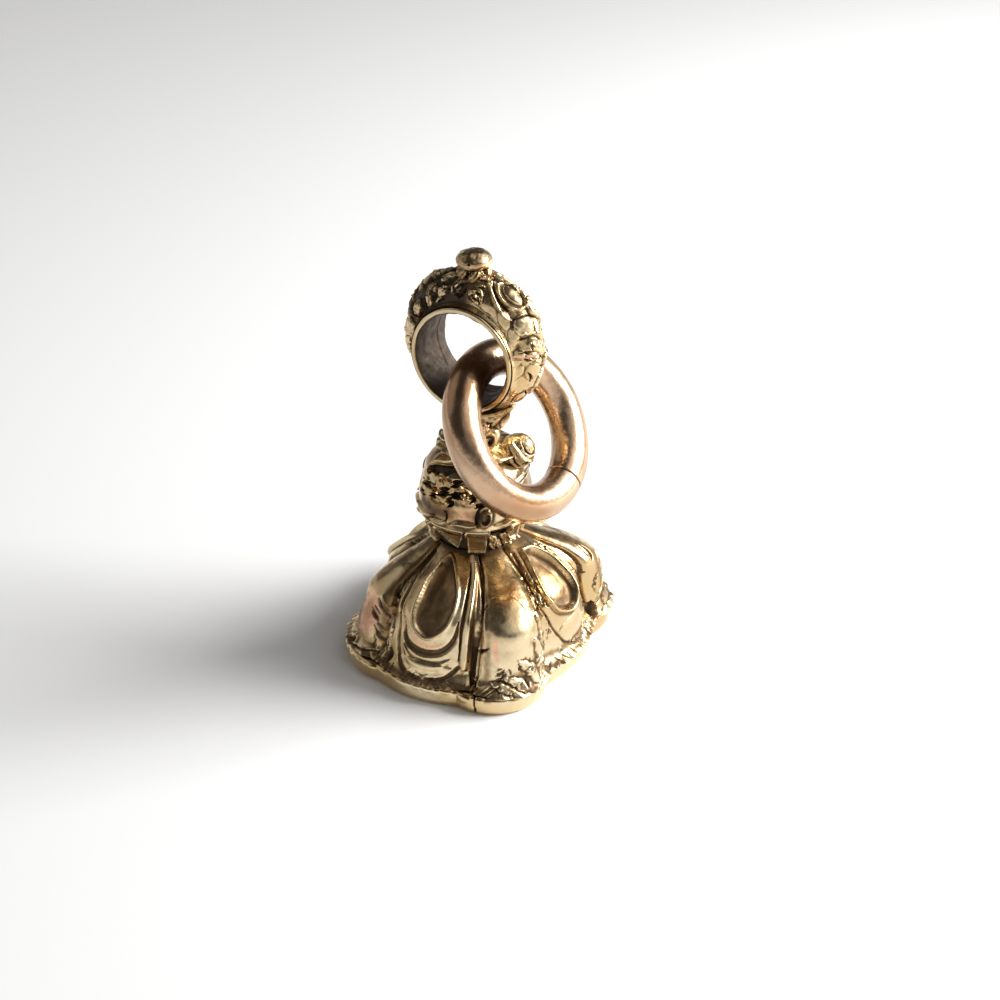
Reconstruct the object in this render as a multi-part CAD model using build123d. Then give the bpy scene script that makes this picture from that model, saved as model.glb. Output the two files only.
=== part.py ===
from build123d import *
import math
import os

# A fob seal: a lobed casing over a downward stone, a leafy bulb as stem, a loop on top and a jump ring through it.
# Millimetres. The origin is under the middle of the foot, Z is up, Y is the loop's axis and the longer side of
# the foot. The foot's outline has a petal in the middle of each side and a round lobe at each corner.

# Rim band round the foot
rim_height = 1.0
rim_width = 1.15
rim_petal_front = 6.85
rim_petal_side = 6.1
rim_valley_front_span = 2.35
rim_valley_front_step = 0.47
rim_valley_side_span = 2.62
rim_valley_side_step = 0.52
rim_corner_front_step = 1.13
rim_corner_side_step = 1.17
rim_roll = 0.24
rim_slit_width = 0.12
rim_slit_depth = 0.5

# Casing, in two stamped halves
casing_height = 5.45
casing_wall = 0.5
casing_step_front = 0.15
casing_step_side = 0.1
casing_valley_front_span = 2.9
casing_valley_front_step = 0.7
casing_valley_side_span = 2.85
casing_valley_side_step = 0.5
casing_corner_front_step = 1.05
casing_corner_side_step = 1.15
neck_radius = 2.1
valley_depth = 0.42
shoulder_shift = 0.34
worn_corner_inset = 0.38
seam_angle = 28.0
seam_gap = 0.06

# Teardrop dish in each side petal
dish_length = 4.0
dish_width = 1.8
dish_depth = 0.3

# Groove down each valley of the casing, and the rib beside it on the front and the back petal
groove_half_width = 0.15
groove_depth = 0.24
rib_height = 0.2

# Stone and what holds it
plate_border = 0.7
plate_thickness = 0.5
plate_set = 0.05
stone_recess = 0.3
stone_thickness = 1.3
stone_chamfer = 0.35
bezel_wall = 0.35
bezel_bottom = 0.12
bezel_lap = 0.1
cement_thickness = 0.4
fit_gap = 0.04
filler_gap = 0.06

# Stem
stem_radius = 0.65
stem_above_stone = 0.4
stem_cover = 0.7
stem_gap = 0.04
collar_height = 1.15
collar_top_radius = 2.62
collar_leaf_count = 8
collar_notch_width = 0.34
collar_notch_height = 0.75
collar_notch_depth = 0.45
cup_height = 2.3
cup_foot_radius = 2.55
cup_radius = 3.05
cup_roll_height = 0.65
cup_top_radius = 2.72
dome_height = 1.55
dome_top_radius = 1.25
dome_bulge = 0.3

# Loop, its liner and its carved band
bore_radius = 2.44
liner_wall = 0.36
loop_width = 2.96
liner_round = 0.14
band_top_thickness = 1.41
band_bottom_thickness = 0.33
band_crown = 0.93
band_half_width = 1.1
band_gap = 0.03
solder_line_rise = 0.62
band_lump_height = 0.14

# Foot of the loop
foot_height = 2.15
foot_sink = 0.12
foot_base_half_span = 1.5
foot_base_half_depth = 1.25
foot_waist_half_span = 1.65
foot_waist_half_depth = 0.95
foot_waist_share = 0.5
foot_cradle_half_span = 2.05
foot_cradle_half_depth = 0.98
foot_horn_height = 0.6
foot_gap = 0.03

# Curled leaves on the shoulders of the bulb
leaf_turn = 12.0
leaf_right_reach = 2.22
leaf_right_rise = 0.02
leaf_right_half_width = 0.85
leaf_right_half_depth = 0.75
leaf_right_half_height = 0.95
leaf_left_reach = 1.3
leaf_left_rise = 0.28
leaf_left_half_width = 0.52
leaf_left_half_depth = 0.6
leaf_left_half_height = 0.62
leaf_tilt = 24.0

# Finial
ball_radius = 0.87
ball_half_height = 0.53
ball_flat = 0.34
finial_neck_radius = 0.58
finial_neck_height = 0.23
finial_gap = 0.02

# Jump ring, leaning to the side as far as the bulb lets it
ring_wire_radius = 0.952
ring_centre_radius = 3.744
ring_play = 0.752
ring_rest_gap = 0.356
ring_twist = 5.7
ring_joint_angle = 18.0
ring_joint_gap = 0.05

# Cuts run past what they cut by this much
overrun = 1.0

# Each casing level as shares: height, reach from neck to foot, depth of the valleys, sideways shift of the shoulder
casing_level_shares = [
    (0.0, 0.94, 0.3, 0.2),
    (0.19, 0.9, 0.7, 0.55),
    (0.41, 0.835, 1.0, 0.8),
    (0.605, 0.76, 1.0, 0.95),
    (0.77, 0.53, 0.9, 1.0),
    (0.885, 0.26, 0.5, 0.7),
    (1.0, 0.0, 0.0, 0.0),
]
# Each rim level as shares: height, and how much of the roll is taken off
rim_level_shares = [(0.0, 1.0), (0.2, 0.3), (0.5, 0.0), (0.8, 0.3), (1.0, 1.0)]
dish_level_share = 0.5
# The rib's foot and crest on the way over its petal, and the lobes that carry one
rib_way_shares = (0.8, 0.89)
ribbed_lobes = (0, 4)
# Each lump on the loop's band as shares: of a turn from the top, of the half width across, and the lump's half
# length and half width of the crest's radius
band_lump_shares = [
    (0.103, -0.2, 0.165, 0.115),
    (0.17, -0.5, 0.14, 0.11),
    (-0.045, -0.55, 0.16, 0.075),
    (-0.11, -0.35, 0.16, 0.08),
    (-0.17, -0.5, 0.13, 0.075),
]

# Places worked out from the sizes above
rim_valley_front = (rim_valley_front_span, rim_petal_front - rim_valley_front_step)
rim_valley_side = (rim_petal_side - rim_valley_side_step, rim_valley_side_span)
rim_corner = (rim_petal_side - rim_corner_side_step, rim_petal_front - rim_corner_front_step)
casing_petal_front = rim_petal_front - casing_step_front
casing_petal_side = rim_petal_side - casing_step_side
casing_valley_front = (casing_valley_front_span, casing_petal_front - casing_valley_front_step)
casing_valley_side = (casing_petal_side - casing_valley_side_step, casing_valley_side_span)
casing_corner = (casing_petal_side - casing_corner_side_step, casing_petal_front - casing_corner_front_step)
casing_top = rim_height + casing_height
collar_top = casing_top + collar_height
cup_top = collar_top + cup_height
dome_top = cup_top + dome_height
cement_bottom = stone_recess + stone_thickness
bezel_top = cement_bottom + cement_thickness + bezel_lap
bezel_height = bezel_top - bezel_bottom
bezel_half_long = rim_petal_front - rim_width - plate_border
bezel_half_short = rim_petal_side - rim_width - plate_border
stone_half_long = bezel_half_long - bezel_wall - fit_gap
stone_half_short = bezel_half_short - bezel_wall - fit_gap
plate_bottom = rim_height - plate_set - plate_thickness
liner_radius = bore_radius + liner_wall
band_crest_radius = liner_radius + (band_top_thickness + band_bottom_thickness) / 2
band_rise = (band_top_thickness - band_bottom_thickness) / 2
band_edge_radius = band_crest_radius - band_crown
band_axis_height = dome_top + foot_height + band_crest_radius
band_top = band_axis_height + band_crest_radius
bore_height = band_axis_height - band_rise
stem_bottom = bezel_top + stem_above_stone
stem_top = dome_top + foot_height - stem_cover
foot_bottom = dome_top - foot_sink
bore_radius_of_stem = stem_radius + stem_gap
ring_hang = ring_centre_radius + bore_radius - ring_wire_radius - ring_play
ring_lean = math.asin((cup_radius + ring_wire_radius + ring_rest_gap) / (ring_hang + ring_centre_radius))
rise_axis = Axis((0, 0, 0), (0, 0, 1))


def quarter_points(petal_front, valley_front, corner, valley_side, petal_side):
    """The outline of the foot in one quarter, from the petal in front to the petal at the side."""
    return [
        (0, -petal_front),
        (valley_front[0], -valley_front[1]),
        (corner[0], -corner[1]),
        (valley_side[0], -valley_side[1]),
        (petal_side, 0),
    ]


def round_points(quarter):
    """The whole outline, sixteen points from the valley left of the front petal, with crests and valleys by turns."""
    front, valley_a, corner, valley_b, side = quarter
    right_half = [front, valley_a, corner, valley_b, side]
    right_half += [(x, -y) for x, y in (valley_b, corner, valley_a)]
    left_half = [(-x, -y) for x, y in right_half]
    outline = right_half + left_half
    return [outline[-1]] + outline[:-1]


def lobed_face(points, height):
    """A flat face at a height, bounded by eight arcs through the points."""
    arcs = []
    for index in range(0, len(points), 2):
        start = points[index]
        crest = points[index + 1]
        end = points[(index + 2) % len(points)]
        arcs.append(ThreePointArc((*start, height), (*crest, height), (*end, height)))
    return Face(Wire(arcs))


def moved_in(point, distance):
    """A point drawn towards the axis by a distance."""
    x, y = point
    reach = math.hypot(x, y)
    scale = (reach - distance) / reach
    return (x * scale, y * scale)


def rim_outline(inset):
    """The rim's outline, drawn in by a distance, with its last corner worn in."""
    quarter = quarter_points(rim_petal_front, rim_valley_front, rim_corner, rim_valley_side, rim_petal_side)
    outline = [moved_in(point, inset) for point in round_points(quarter)]
    outline[-1] = moved_in(outline[-1], worn_corner_inset)
    return outline


def casing_outline(level, inset):
    """The casing's outline at one level, drawn in by a distance, with its last corner worn in."""
    _, reach_share, valley_share, shift_share = level
    quarter = quarter_points(
        casing_petal_front, casing_valley_front, casing_corner, casing_valley_side, casing_petal_side
    )
    foot_points = round_points(quarter)
    foot_points[-1] = moved_in(foot_points[-1], worn_corner_inset)
    outline = []
    for index, point in enumerate(foot_points):
        reach = math.hypot(*point)
        wanted = neck_radius + (reach - neck_radius) * reach_share - inset
        if index % 2 == 0:
            wanted -= valley_depth * valley_share
        x, y = moved_in(point, reach - wanted)
        outline.append((x + shoulder_shift * shift_share, y))
    return outline


def casing_solid(inset):
    """The casing's outer shape, drawn in and lowered by a distance."""
    faces = []
    for level in casing_level_shares:
        height = rim_height + (casing_height - inset) * level[0]
        faces.append(lobed_face(casing_outline(level, inset), height))
    return loft(faces)


def carved_face(level):
    """The casing's section at one level, with its grooves in the valleys and its two ribs."""
    height = rim_height + casing_height * level[0]
    valley_share = level[2]
    outline = casing_outline(level, 0)
    lobes = []
    for index in range(0, len(outline), 2):
        start = outline[index]
        crest = outline[index + 1]
        end = outline[(index + 2) % len(outline)]
        lobes.append(ThreePointArc((*start, height), (*crest, height), (*end, height)))
    edges = []
    for index, lobe in enumerate(lobes):
        clear_share = groove_half_width / lobe.length
        first = lobe @ clear_share
        last = lobe @ (1 - clear_share)
        if index in ribbed_lobes:
            foot_share, crest_share = rib_way_shares
            foot = lobe @ foot_share
            rib_x, rib_y, _ = lobe @ crest_share
            rib_crest = moved_in((rib_x, rib_y), -rib_height * valley_share)
            edges.append(ThreePointArc(first, lobe @ (foot_share / 2), foot))
            edges.append(ThreePointArc(foot, (*rib_crest, height), last))
        else:
            edges.append(ThreePointArc(first, lobe @ 0.5, last))
        bottom = moved_in(outline[(2 * index + 2) % len(outline)], groove_depth * valley_share)
        following = lobes[(index + 1) % len(lobes)]
        edges.append(Line(last, (*bottom, height)))
        edges.append(Line((*bottom, height), following @ (groove_half_width / following.length)))
    return Face(Wire(edges))


def upright_oval(half_short, half_long, bottom, height):
    """An upright oval block, longer along Y."""
    return extrude(Pos(0, 0, bottom) * Ellipse(half_short, half_long), amount=height)


def upright_rod(radius, bottom, height):
    """An upright round rod on the axis."""
    return Pos(0, 0, bottom) * Cylinder(radius, height, align=(Align.CENTER, Align.CENTER, Align.MIN))


def ellipsoid(half_x, half_y, half_z):
    """An ellipsoid round the origin."""
    return scale(Sphere(1), by=(half_x, half_y, half_z))


def seam_side(side, height):
    """The space on one side of the upright seam, held off it by half the gap."""
    reach = rim_corner[0] + rim_corner[1] + overrun
    block = Box(reach, 2 * reach, height, align=(Align.MIN, Align.CENTER, Align.MIN))
    turn = seam_angle if side > 0 else seam_angle + 180
    return Rot(0, 0, turn) * Pos(seam_gap / 2, 0, 0) * block


def petal_dishes():
    """The four shallow dishes, one in each side petal."""
    low = casing_level_shares[3]
    high = casing_level_shares[4]
    height_share, reach_share, _, shift_share = [a + (b - a) * dish_level_share for a, b in zip(low, high)]
    height = rim_height + casing_height * height_share
    shift = shoulder_shift * shift_share
    bowl = ellipsoid(dish_length / 2, dish_width / 2, dish_depth)
    dishes = []
    for turn, petal in (
        (-90, casing_petal_front), (0, casing_petal_side), (90, casing_petal_front), (180, casing_petal_side)
    ):
        reach = neck_radius + (petal - neck_radius) * reach_share
        run = (petal - neck_radius) * (low[1] - high[1])
        slope = math.degrees(math.atan2(casing_height * (high[0] - low[0]), run))
        dishes.append(Pos(shift, 0, 0) * Rot(0, 0, turn) * Pos(reach, 0, height) * Rot(0, slope, 0) * bowl)
    return dishes


def make_casing_halves():
    """The two halves of the stamped casing, left and right of the seam."""
    shell = loft([carved_face(level) for level in casing_level_shares]) - casing_solid(casing_wall)
    shell -= upright_rod(bore_radius_of_stem, casing_top - 2 * casing_wall, 2 * casing_wall + overrun)
    for dish in petal_dishes():
        shell -= dish
    left = shell & seam_side(-1, casing_top + overrun)
    right = shell & seam_side(1, casing_top + overrun)
    return left, right


def make_rim_band():
    """The scalloped band round the foot, with rolled edges and a slit below the seam."""
    faces = []
    for height_share, roll_share in rim_level_shares:
        faces.append(lobed_face(rim_outline(rim_roll * roll_share), rim_height * height_share))
    inner = extrude(lobed_face(rim_outline(rim_width), -overrun), amount=rim_height + 2 * overrun)
    reach = math.hypot(*rim_valley_front)
    slit = Box(rim_slit_width, 2 * rim_slit_depth, rim_height * 3)
    return loft(faces) - inner - Rot(0, 0, seam_angle) * Pos(0, -reach, 0) * slit


def make_base_plate():
    """The plate inside the rim, with an oval hole for the bezel."""
    blank = extrude(lobed_face(rim_outline(rim_width + fit_gap), plate_bottom), amount=plate_thickness)
    hole = upright_oval(
        bezel_half_short + fit_gap, bezel_half_long + fit_gap, plate_bottom - overrun, plate_thickness + 2 * overrun
    )
    return blank - hole


def make_stone_bezel():
    """The oval collet round the stone and its cement."""
    outer = upright_oval(bezel_half_short, bezel_half_long, bezel_bottom, bezel_height)
    inner = upright_oval(
        stone_half_short + fit_gap, stone_half_long + fit_gap, bezel_bottom - overrun, bezel_height + 2 * overrun
    )
    return outer - inner


def make_seal_stone():
    """The flat oval stone with a bevel round both faces."""
    blank = upright_oval(stone_half_short, stone_half_long, stone_recess, stone_thickness)
    return chamfer(blank.edges(), length=stone_chamfer)


def make_stone_cement():
    """The cement between the stone and the filling."""
    return upright_oval(stone_half_short, stone_half_long, cement_bottom, cement_thickness)


def make_core_filler():
    """The hard filling under the casing, with a pocket for the bezel and a bore for the post."""
    pocket = upright_oval(
        bezel_half_short + fit_gap, bezel_half_long + fit_gap, rim_height - overrun, bezel_top - rim_height + fit_gap
        + overrun
    )
    bore = upright_rod(bore_radius_of_stem, stem_bottom, casing_top - stem_bottom + overrun)
    return casing_solid(casing_wall + filler_gap) - pocket - bore


def make_stem_post():
    """The post that ties casing, collar, bulb and foot together."""
    return upright_rod(stem_radius, stem_bottom, stem_top - stem_bottom)


def make_leaf_collar():
    """The faceted collar, notched from below between its leaves."""
    lower = Pos(0, 0, casing_top) * RegularPolygon(neck_radius, collar_leaf_count, major_radius=False)
    upper = Pos(0, 0, collar_top) * RegularPolygon(collar_top_radius, collar_leaf_count, major_radius=False)
    collar = loft([lower.face(), upper.face()]) - upright_rod(bore_radius_of_stem, casing_top, collar_height)
    notch = extrude(
        Plane.YZ * Polygon(
            (-collar_notch_width / 2, 0), (collar_notch_width / 2, 0), (0, collar_notch_height), align=None
        ),
        amount=collar_notch_depth + overrun,
    )
    corner_turn = 180 / collar_leaf_count
    for index in range(collar_leaf_count):
        turn = corner_turn + index * 360 / collar_leaf_count
        collar -= Rot(0, 0, turn) * Pos(neck_radius + overrun / 2 - collar_notch_depth, 0, casing_top) * notch
    return collar


def make_bulb_cup():
    """The carved cup, with a rolled lower edge and a slight taper to the dome."""
    roll_top = collar_top + cup_roll_height
    profile = Wire(
        [
            Line((bore_radius_of_stem, 0, collar_top), (cup_foot_radius, 0, collar_top)),
            ThreePointArc(
                (cup_foot_radius, 0, collar_top),
                ((cup_foot_radius + cup_radius) / 2 + (cup_radius - cup_foot_radius) / 4, 0,
                 collar_top + cup_roll_height / 3),
                (cup_radius, 0, roll_top),
            ),
            ThreePointArc(
                (cup_radius, 0, roll_top),
                ((cup_radius + cup_top_radius) / 2 + (cup_radius - cup_top_radius) / 4, 0, (roll_top + cup_top) / 2),
                (cup_top_radius, 0, cup_top),
            ),
            Line((cup_top_radius, 0, cup_top), (bore_radius_of_stem, 0, cup_top)),
            Line((bore_radius_of_stem, 0, cup_top), (bore_radius_of_stem, 0, collar_top)),
        ]
    )
    return revolve(Face(profile), rise_axis)


def make_bulb_dome():
    """The plain rounded top of the bulb."""
    middle_radius = (cup_top_radius + dome_top_radius) / 2 + dome_bulge
    middle_height = (cup_top + dome_top) / 2 + dome_bulge
    profile = Wire(
        [
            Line((bore_radius_of_stem, 0, cup_top), (cup_top_radius, 0, cup_top)),
            ThreePointArc(
                (cup_top_radius, 0, cup_top), (middle_radius, 0, middle_height), (dome_top_radius, 0, dome_top)
            ),
            Line((dome_top_radius, 0, dome_top), (bore_radius_of_stem, 0, dome_top)),
            Line((bore_radius_of_stem, 0, dome_top), (bore_radius_of_stem, 0, cup_top)),
        ]
    )
    return revolve(Face(profile), rise_axis)


def band_ring(clearance):
    """The loop's crescent band as a full ring, grown outwards by a clearance and still filled inside."""
    crest = band_crest_radius + clearance
    edge = band_edge_radius + clearance
    half_width = band_half_width + clearance
    profile = Wire(
        [
            Line((0, -half_width, band_axis_height), (0, -half_width, band_axis_height + edge)),
            ThreePointArc(
                (0, -half_width, band_axis_height + edge),
                (0, 0, band_axis_height + crest),
                (0, half_width, band_axis_height + edge),
            ),
            Line((0, half_width, band_axis_height + edge), (0, half_width, band_axis_height)),
            Line((0, half_width, band_axis_height), (0, -half_width, band_axis_height)),
        ]
    )
    return revolve(Face(profile), Axis((0, 0, band_axis_height), (0, 1, 0)))


def band_lumps():
    """The bosses and leaves that stand up from the band, with their mates turned half round the upright axis."""
    roll_radius = (band_half_width**2 + band_crown**2) / (2 * band_crown)
    lumps = []
    for turn_share, across_share, long_share, wide_share in band_lump_shares:
        lump = ellipsoid(long_share * band_crest_radius, wide_share * band_crest_radius, band_lump_height)
        for side in (1, -1):
            tilt = -math.degrees(math.asin(side * across_share * band_half_width / roll_radius))
            lumps.append(
                Pos(0, 0, band_axis_height)
                * Rot(0, side * turn_share * 360, 0)
                * Pos(0, 0, band_crest_radius - roll_radius)
                * Rot(tilt, 0, 0)
                * Pos(0, 0, roll_radius)
                * lump
            )
    return lumps


def across_rod(radius, length):
    """A round rod along the loop's own axis."""
    return Pos(0, 0, bore_height) * Rot(90, 0, 0) * Cylinder(radius, length)


def make_loop_liner():
    """The plain tube that lines the loop, with rounded edges."""
    tube = across_rod(liner_radius, loop_width) - across_rod(bore_radius, loop_width + 2 * overrun)
    return fillet(tube.edges().filter_by(GeomType.CIRCLE), liner_round)


def make_loop_bands():
    """The carved band, parted at the solder line into an upper and a lower piece."""
    ring = band_ring(0)
    for lump in band_lumps():
        ring += lump
    ring -= across_rod(liner_radius + band_gap, loop_width + 2 * overrun)
    reach = 2 * (band_crest_radius + band_rise + overrun)
    block = Box(reach, reach, reach, align=(Align.CENTER, Align.CENTER, Align.MIN))
    split_height = bore_height + solder_line_rise
    upper = ring & (Pos(0, 0, split_height) * block)
    lower = ring & (Pos(0, 0, split_height - reach) * block)
    return upper, lower


def foot_blank():
    """The foot before it is cut to the dome and the loop: a waist between a round base and a wide cradle."""
    cradle_height = dome_top + foot_height
    waist_height = dome_top + foot_height * foot_waist_share
    sections = []
    for height, half_x, half_y in (
        (foot_bottom, foot_base_half_span, foot_base_half_depth),
        (waist_height, foot_waist_half_span, foot_waist_half_depth),
        (cradle_height, foot_cradle_half_span, foot_cradle_half_depth),
        (cradle_height + foot_horn_height, foot_cradle_half_span, foot_cradle_half_depth),
    ):
        sections.append((Pos(0, 0, height) * Ellipse(half_x, half_y)).face())
    return loft(sections)


def make_loop_foot(dome):
    """The flared foot that stands on the dome and cradles the loop."""
    bore = upright_rod(bore_radius_of_stem, foot_bottom - overrun, stem_top - foot_bottom + overrun + stem_gap)
    foot = foot_blank() - dome - bore
    foot -= band_ring(foot_gap)
    return foot - across_rod(liner_radius + foot_gap, loop_width + 2 * overrun)


def make_shoulder_leaf(side, reach, rise, half_sizes, dome, foot):
    """A curled leaf knob that sits between the dome and the foot, on one side."""
    knob = Pos(side * reach, 0, dome_top + rise) * Rot(0, side * leaf_tilt, 0) * ellipsoid(*half_sizes)
    return Rot(0, 0, leaf_turn) * knob - dome - foot


def make_finial():
    """The neck and the squashed ball on top of the loop."""
    neck_bottom = band_top - finial_neck_height
    neck_top = band_top + finial_neck_height
    neck = upright_rod(finial_neck_radius, neck_bottom, neck_top - neck_bottom) - band_ring(finial_gap)
    ball = Pos(0, 0, neck_top + ball_flat) * ellipsoid(ball_radius, ball_radius, ball_half_height)
    ball -= upright_rod(ball_radius + overrun, neck_top - overrun, overrun)
    return neck, ball


def make_jump_ring():
    """The round-wire ring through the loop, with a butt joint."""
    twist = math.radians(ring_twist)
    down = Vector(math.sin(ring_lean), 0, -math.cos(ring_lean))
    flat_normal = Vector(math.cos(ring_lean), 0, math.sin(ring_lean))
    normal = flat_normal * math.cos(twist) + down.cross(flat_normal) * math.sin(twist)
    centre = Vector(0, 0, bore_height) + down * ring_hang
    ring_plane = Plane(origin=centre, x_dir=down, z_dir=normal)
    cut = Box(2 * (ring_wire_radius + overrun), ring_joint_gap, 2 * (ring_wire_radius + overrun))
    ring = Torus(ring_centre_radius, ring_wire_radius)
    ring -= Rot(0, 0, ring_joint_angle) * Pos(ring_centre_radius, 0, 0) * cut
    return ring_plane * ring


def write_piece(piece, name):
    """Writes one piece to its own file."""
    export_step(piece, f"parts/{name}.step")


def main():
    """Makes every piece and writes it."""
    os.makedirs("parts", exist_ok=True)
    casing_left, casing_right = make_casing_halves()
    dome = make_bulb_dome()
    foot = make_loop_foot(dome)
    band_upper, band_lower = make_loop_bands()
    neck, ball = make_finial()
    right_sizes = (leaf_right_half_width, leaf_right_half_depth, leaf_right_half_height)
    left_sizes = (leaf_left_half_width, leaf_left_half_depth, leaf_left_half_height)
    pieces = {
        "casing_left": casing_left,
        "casing_right": casing_right,
        "rim_band": make_rim_band(),
        "base_plate": make_base_plate(),
        "stone_bezel": make_stone_bezel(),
        "seal_stone": make_seal_stone(),
        "stone_cement": make_stone_cement(),
        "core_filler": make_core_filler(),
        "stem_post": make_stem_post(),
        "leaf_collar": make_leaf_collar(),
        "bulb_cup": make_bulb_cup(),
        "bulb_dome": dome,
        "loop_foot": foot,
        "shoulder_leaf_right": make_shoulder_leaf(1, leaf_right_reach, leaf_right_rise, right_sizes, dome, foot),
        "shoulder_leaf_left": make_shoulder_leaf(-1, leaf_left_reach, leaf_left_rise, left_sizes, dome, foot),
        "loop_liner": make_loop_liner(),
        "loop_band_upper": band_upper,
        "loop_band_lower": band_lower,
        "finial_collar": neck,
        "finial_ball": ball,
        "jump_ring": make_jump_ring(),
    }
    for name, piece in pieces.items():
        write_piece(piece, name)


main()
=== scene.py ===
"""A gold fob seal on a jump ring: carved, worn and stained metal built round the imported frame."""
import logging
import math
from dataclasses import dataclass, field
from enum import Enum
from typing import Any, Callable, Iterable, Optional, Sequence, Union

import bmesh
import bpy
import numpy as np
from mathutils import Matrix, Vector


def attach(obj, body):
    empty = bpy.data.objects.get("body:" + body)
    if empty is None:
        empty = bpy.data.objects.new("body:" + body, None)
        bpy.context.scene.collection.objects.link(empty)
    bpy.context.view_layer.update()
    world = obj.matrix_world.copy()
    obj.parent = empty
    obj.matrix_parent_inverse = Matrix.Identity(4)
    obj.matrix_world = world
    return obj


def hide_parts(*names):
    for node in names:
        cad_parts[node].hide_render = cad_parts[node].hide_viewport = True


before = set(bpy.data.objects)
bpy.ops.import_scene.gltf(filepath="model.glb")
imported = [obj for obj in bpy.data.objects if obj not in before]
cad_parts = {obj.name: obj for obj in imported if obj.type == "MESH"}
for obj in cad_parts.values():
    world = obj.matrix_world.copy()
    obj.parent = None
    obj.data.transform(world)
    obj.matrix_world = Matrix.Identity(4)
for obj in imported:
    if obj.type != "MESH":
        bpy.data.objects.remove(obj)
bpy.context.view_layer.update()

log = logging.getLogger("fob_seal")

MM = 0.001
TURN = 2.0 * math.pi

# Depths, in millimetres, at which small and wide hollows hold their full dirt and painted shade.
FINE_HOLLOW = 0.045
BROAD_HOLLOW = 0.13
# How dark the unseen inner faces are: painted shade.
INNER_PAINTED_SHADE = 0.6
# Vertices closer than this, in metres, are one.
MERGE_DISTANCE = 2e-8
# Faces that meet at more than this, in degrees, keep a sharp edge.
SHARP_ANGLE = 70

Mark = tuple[float, float]
Grid = np.ndarray
Climb = Callable[[float], float]


class Blank(Enum):
    """The plain form a piece starts from."""

    SLEEVE = "a wall with a carved outside and a plain inside"
    SOLID = "a lump closed at both ends"
    TUBE = "a bent bar, carved all the way round"


class Taper(Enum):
    """How the width of a cut or ridge runs from its start to its end."""

    EVEN = "even"
    BOTH = "pointed at both ends"
    TIP = "pointed at its end"


class Slot(Enum):
    """The material slots."""

    CASING = "casing_gold"
    CARVED = "carved_gold"
    PLAIN = "plain_gold"
    ROSE = "rose_gold"
    STONE = "seal_stone"
    CEMENT = "setting_cement"
    FILLER = "hard_filler"
    POST = "post_brass"


def smooth_through(knots: Sequence[float], values: Sequence[float], at: Grid) -> Grid:
    """Reads a smooth curve that passes through some values.

    Args:
        knots: Where the values are, rising.
        values: The values.
        at: Where to read.

    Returns:
        The curve's values.
    """
    places = np.asarray(knots, float)
    heights = np.asarray(values, float)
    slopes = np.gradient(heights, places)
    first = np.clip(np.searchsorted(places, at, side="right") - 1, 0, len(places) - 2)
    width = places[first + 1] - places[first]
    share = np.clip((at - places[first]) / width, 0.0, 1.0)
    square = share * share
    cube = square * share
    return (
        heights[first] * (2 * cube - 3 * square + 1)
        + slopes[first] * width * (cube - 2 * square + share)
        + heights[first + 1] * (3 * square - 2 * cube)
        + slopes[first + 1] * width * (cube - square)
    )


def smooth_line(marks: Sequence[Mark], parts: int = 5) -> Grid:
    """Rounds a line of marks.

    Args:
        marks: Points of the line.
        parts: Pieces that each stretch is divided into.

    Returns:
        The points of the rounded line.
    """
    given = np.asarray(marks, float)
    if len(given) < 3:
        return given
    knots = np.arange(len(given))
    at = np.linspace(0, len(given) - 1, (len(given) - 1) * parts + 1)
    return np.stack([smooth_through(knots, given[:, 0], at), smooth_through(knots, given[:, 1], at)], 1)


def ease(value: Grid) -> Grid:
    """A soft step from 0 to 1."""
    held = np.clip(value, 0.0, 1.0)
    return held * held * (3 - 2 * held)


def mound(value: Grid) -> Grid:
    """A round bump, 1 where the value is 0 and 0 from 1 on."""
    return 0.5 + 0.5 * np.cos(math.pi * np.clip(np.abs(value), 0.0, 1.0))


def distance_run(first: Grid, second: Grid) -> Grid:
    """Distance run along a line of points, from its start."""
    return np.concatenate([[0], np.cumsum(np.hypot(np.diff(first), np.diff(second)))])


def bent(start: Mark, end: Mark, over: float, along: float) -> tuple[Mark, Mark, Mark]:
    """A line of three marks whose middle is moved round and along."""
    return start, (0.5 * (start[0] + end[0]) + over, 0.5 * (start[1] + end[1]) + along), end


def lattice(cells: Grid, seed: int) -> Grid:
    """Even random numbers from 0 to 1, one for each cell of a lattice.

    Args:
        cells: Whole places, three to a cell.
        seed: Which numbers.

    Returns:
        The numbers.
    """
    whole = cells.astype(np.int64)
    mixed = whole[..., 0] * 73856093 ^ whole[..., 1] * 19349663 ^ whole[..., 2] * 83492791
    mixed = mixed ^ (seed * 2654435761)
    mixed = (mixed ^ (mixed >> 13)) * 1274126177 & 0xFFFFFFFF
    mixed = (mixed ^ (mixed >> 16)) * 2246822519 & 0xFFFFFFFF
    return (mixed >> 8).astype(float) / 0xFFFFFF


def cloud(points: Grid, size: float, seed: int, octaves: int = 3) -> Grid:
    """Soft random hills over space.

    Args:
        points: Places, in millimetres.
        size: How far apart the largest hills are.
        seed: Which set of hills.
        octaves: How many finer sets are laid over the first.

    Returns:
        Heights from about -1 to 1.
    """
    total = np.zeros(points.shape[:-1])
    weight = 1.0
    scale = 1.0 / size
    for octave in range(octaves):
        place = points * scale
        cell = np.floor(place)
        share = place - cell
        share = share * share * (3 - 2 * share)
        level = np.zeros(points.shape[:-1])
        for corner in range(8):
            step = np.array([corner & 1, corner >> 1 & 1, corner >> 2 & 1], float)
            nearness = np.prod(np.where(step > 0, share, 1 - share), axis=-1)
            level += nearness * lattice(cell + step, seed + octave)
        total += weight * (2 * level - 1)
        weight *= 0.5
        scale *= 2.03
    return total


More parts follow.
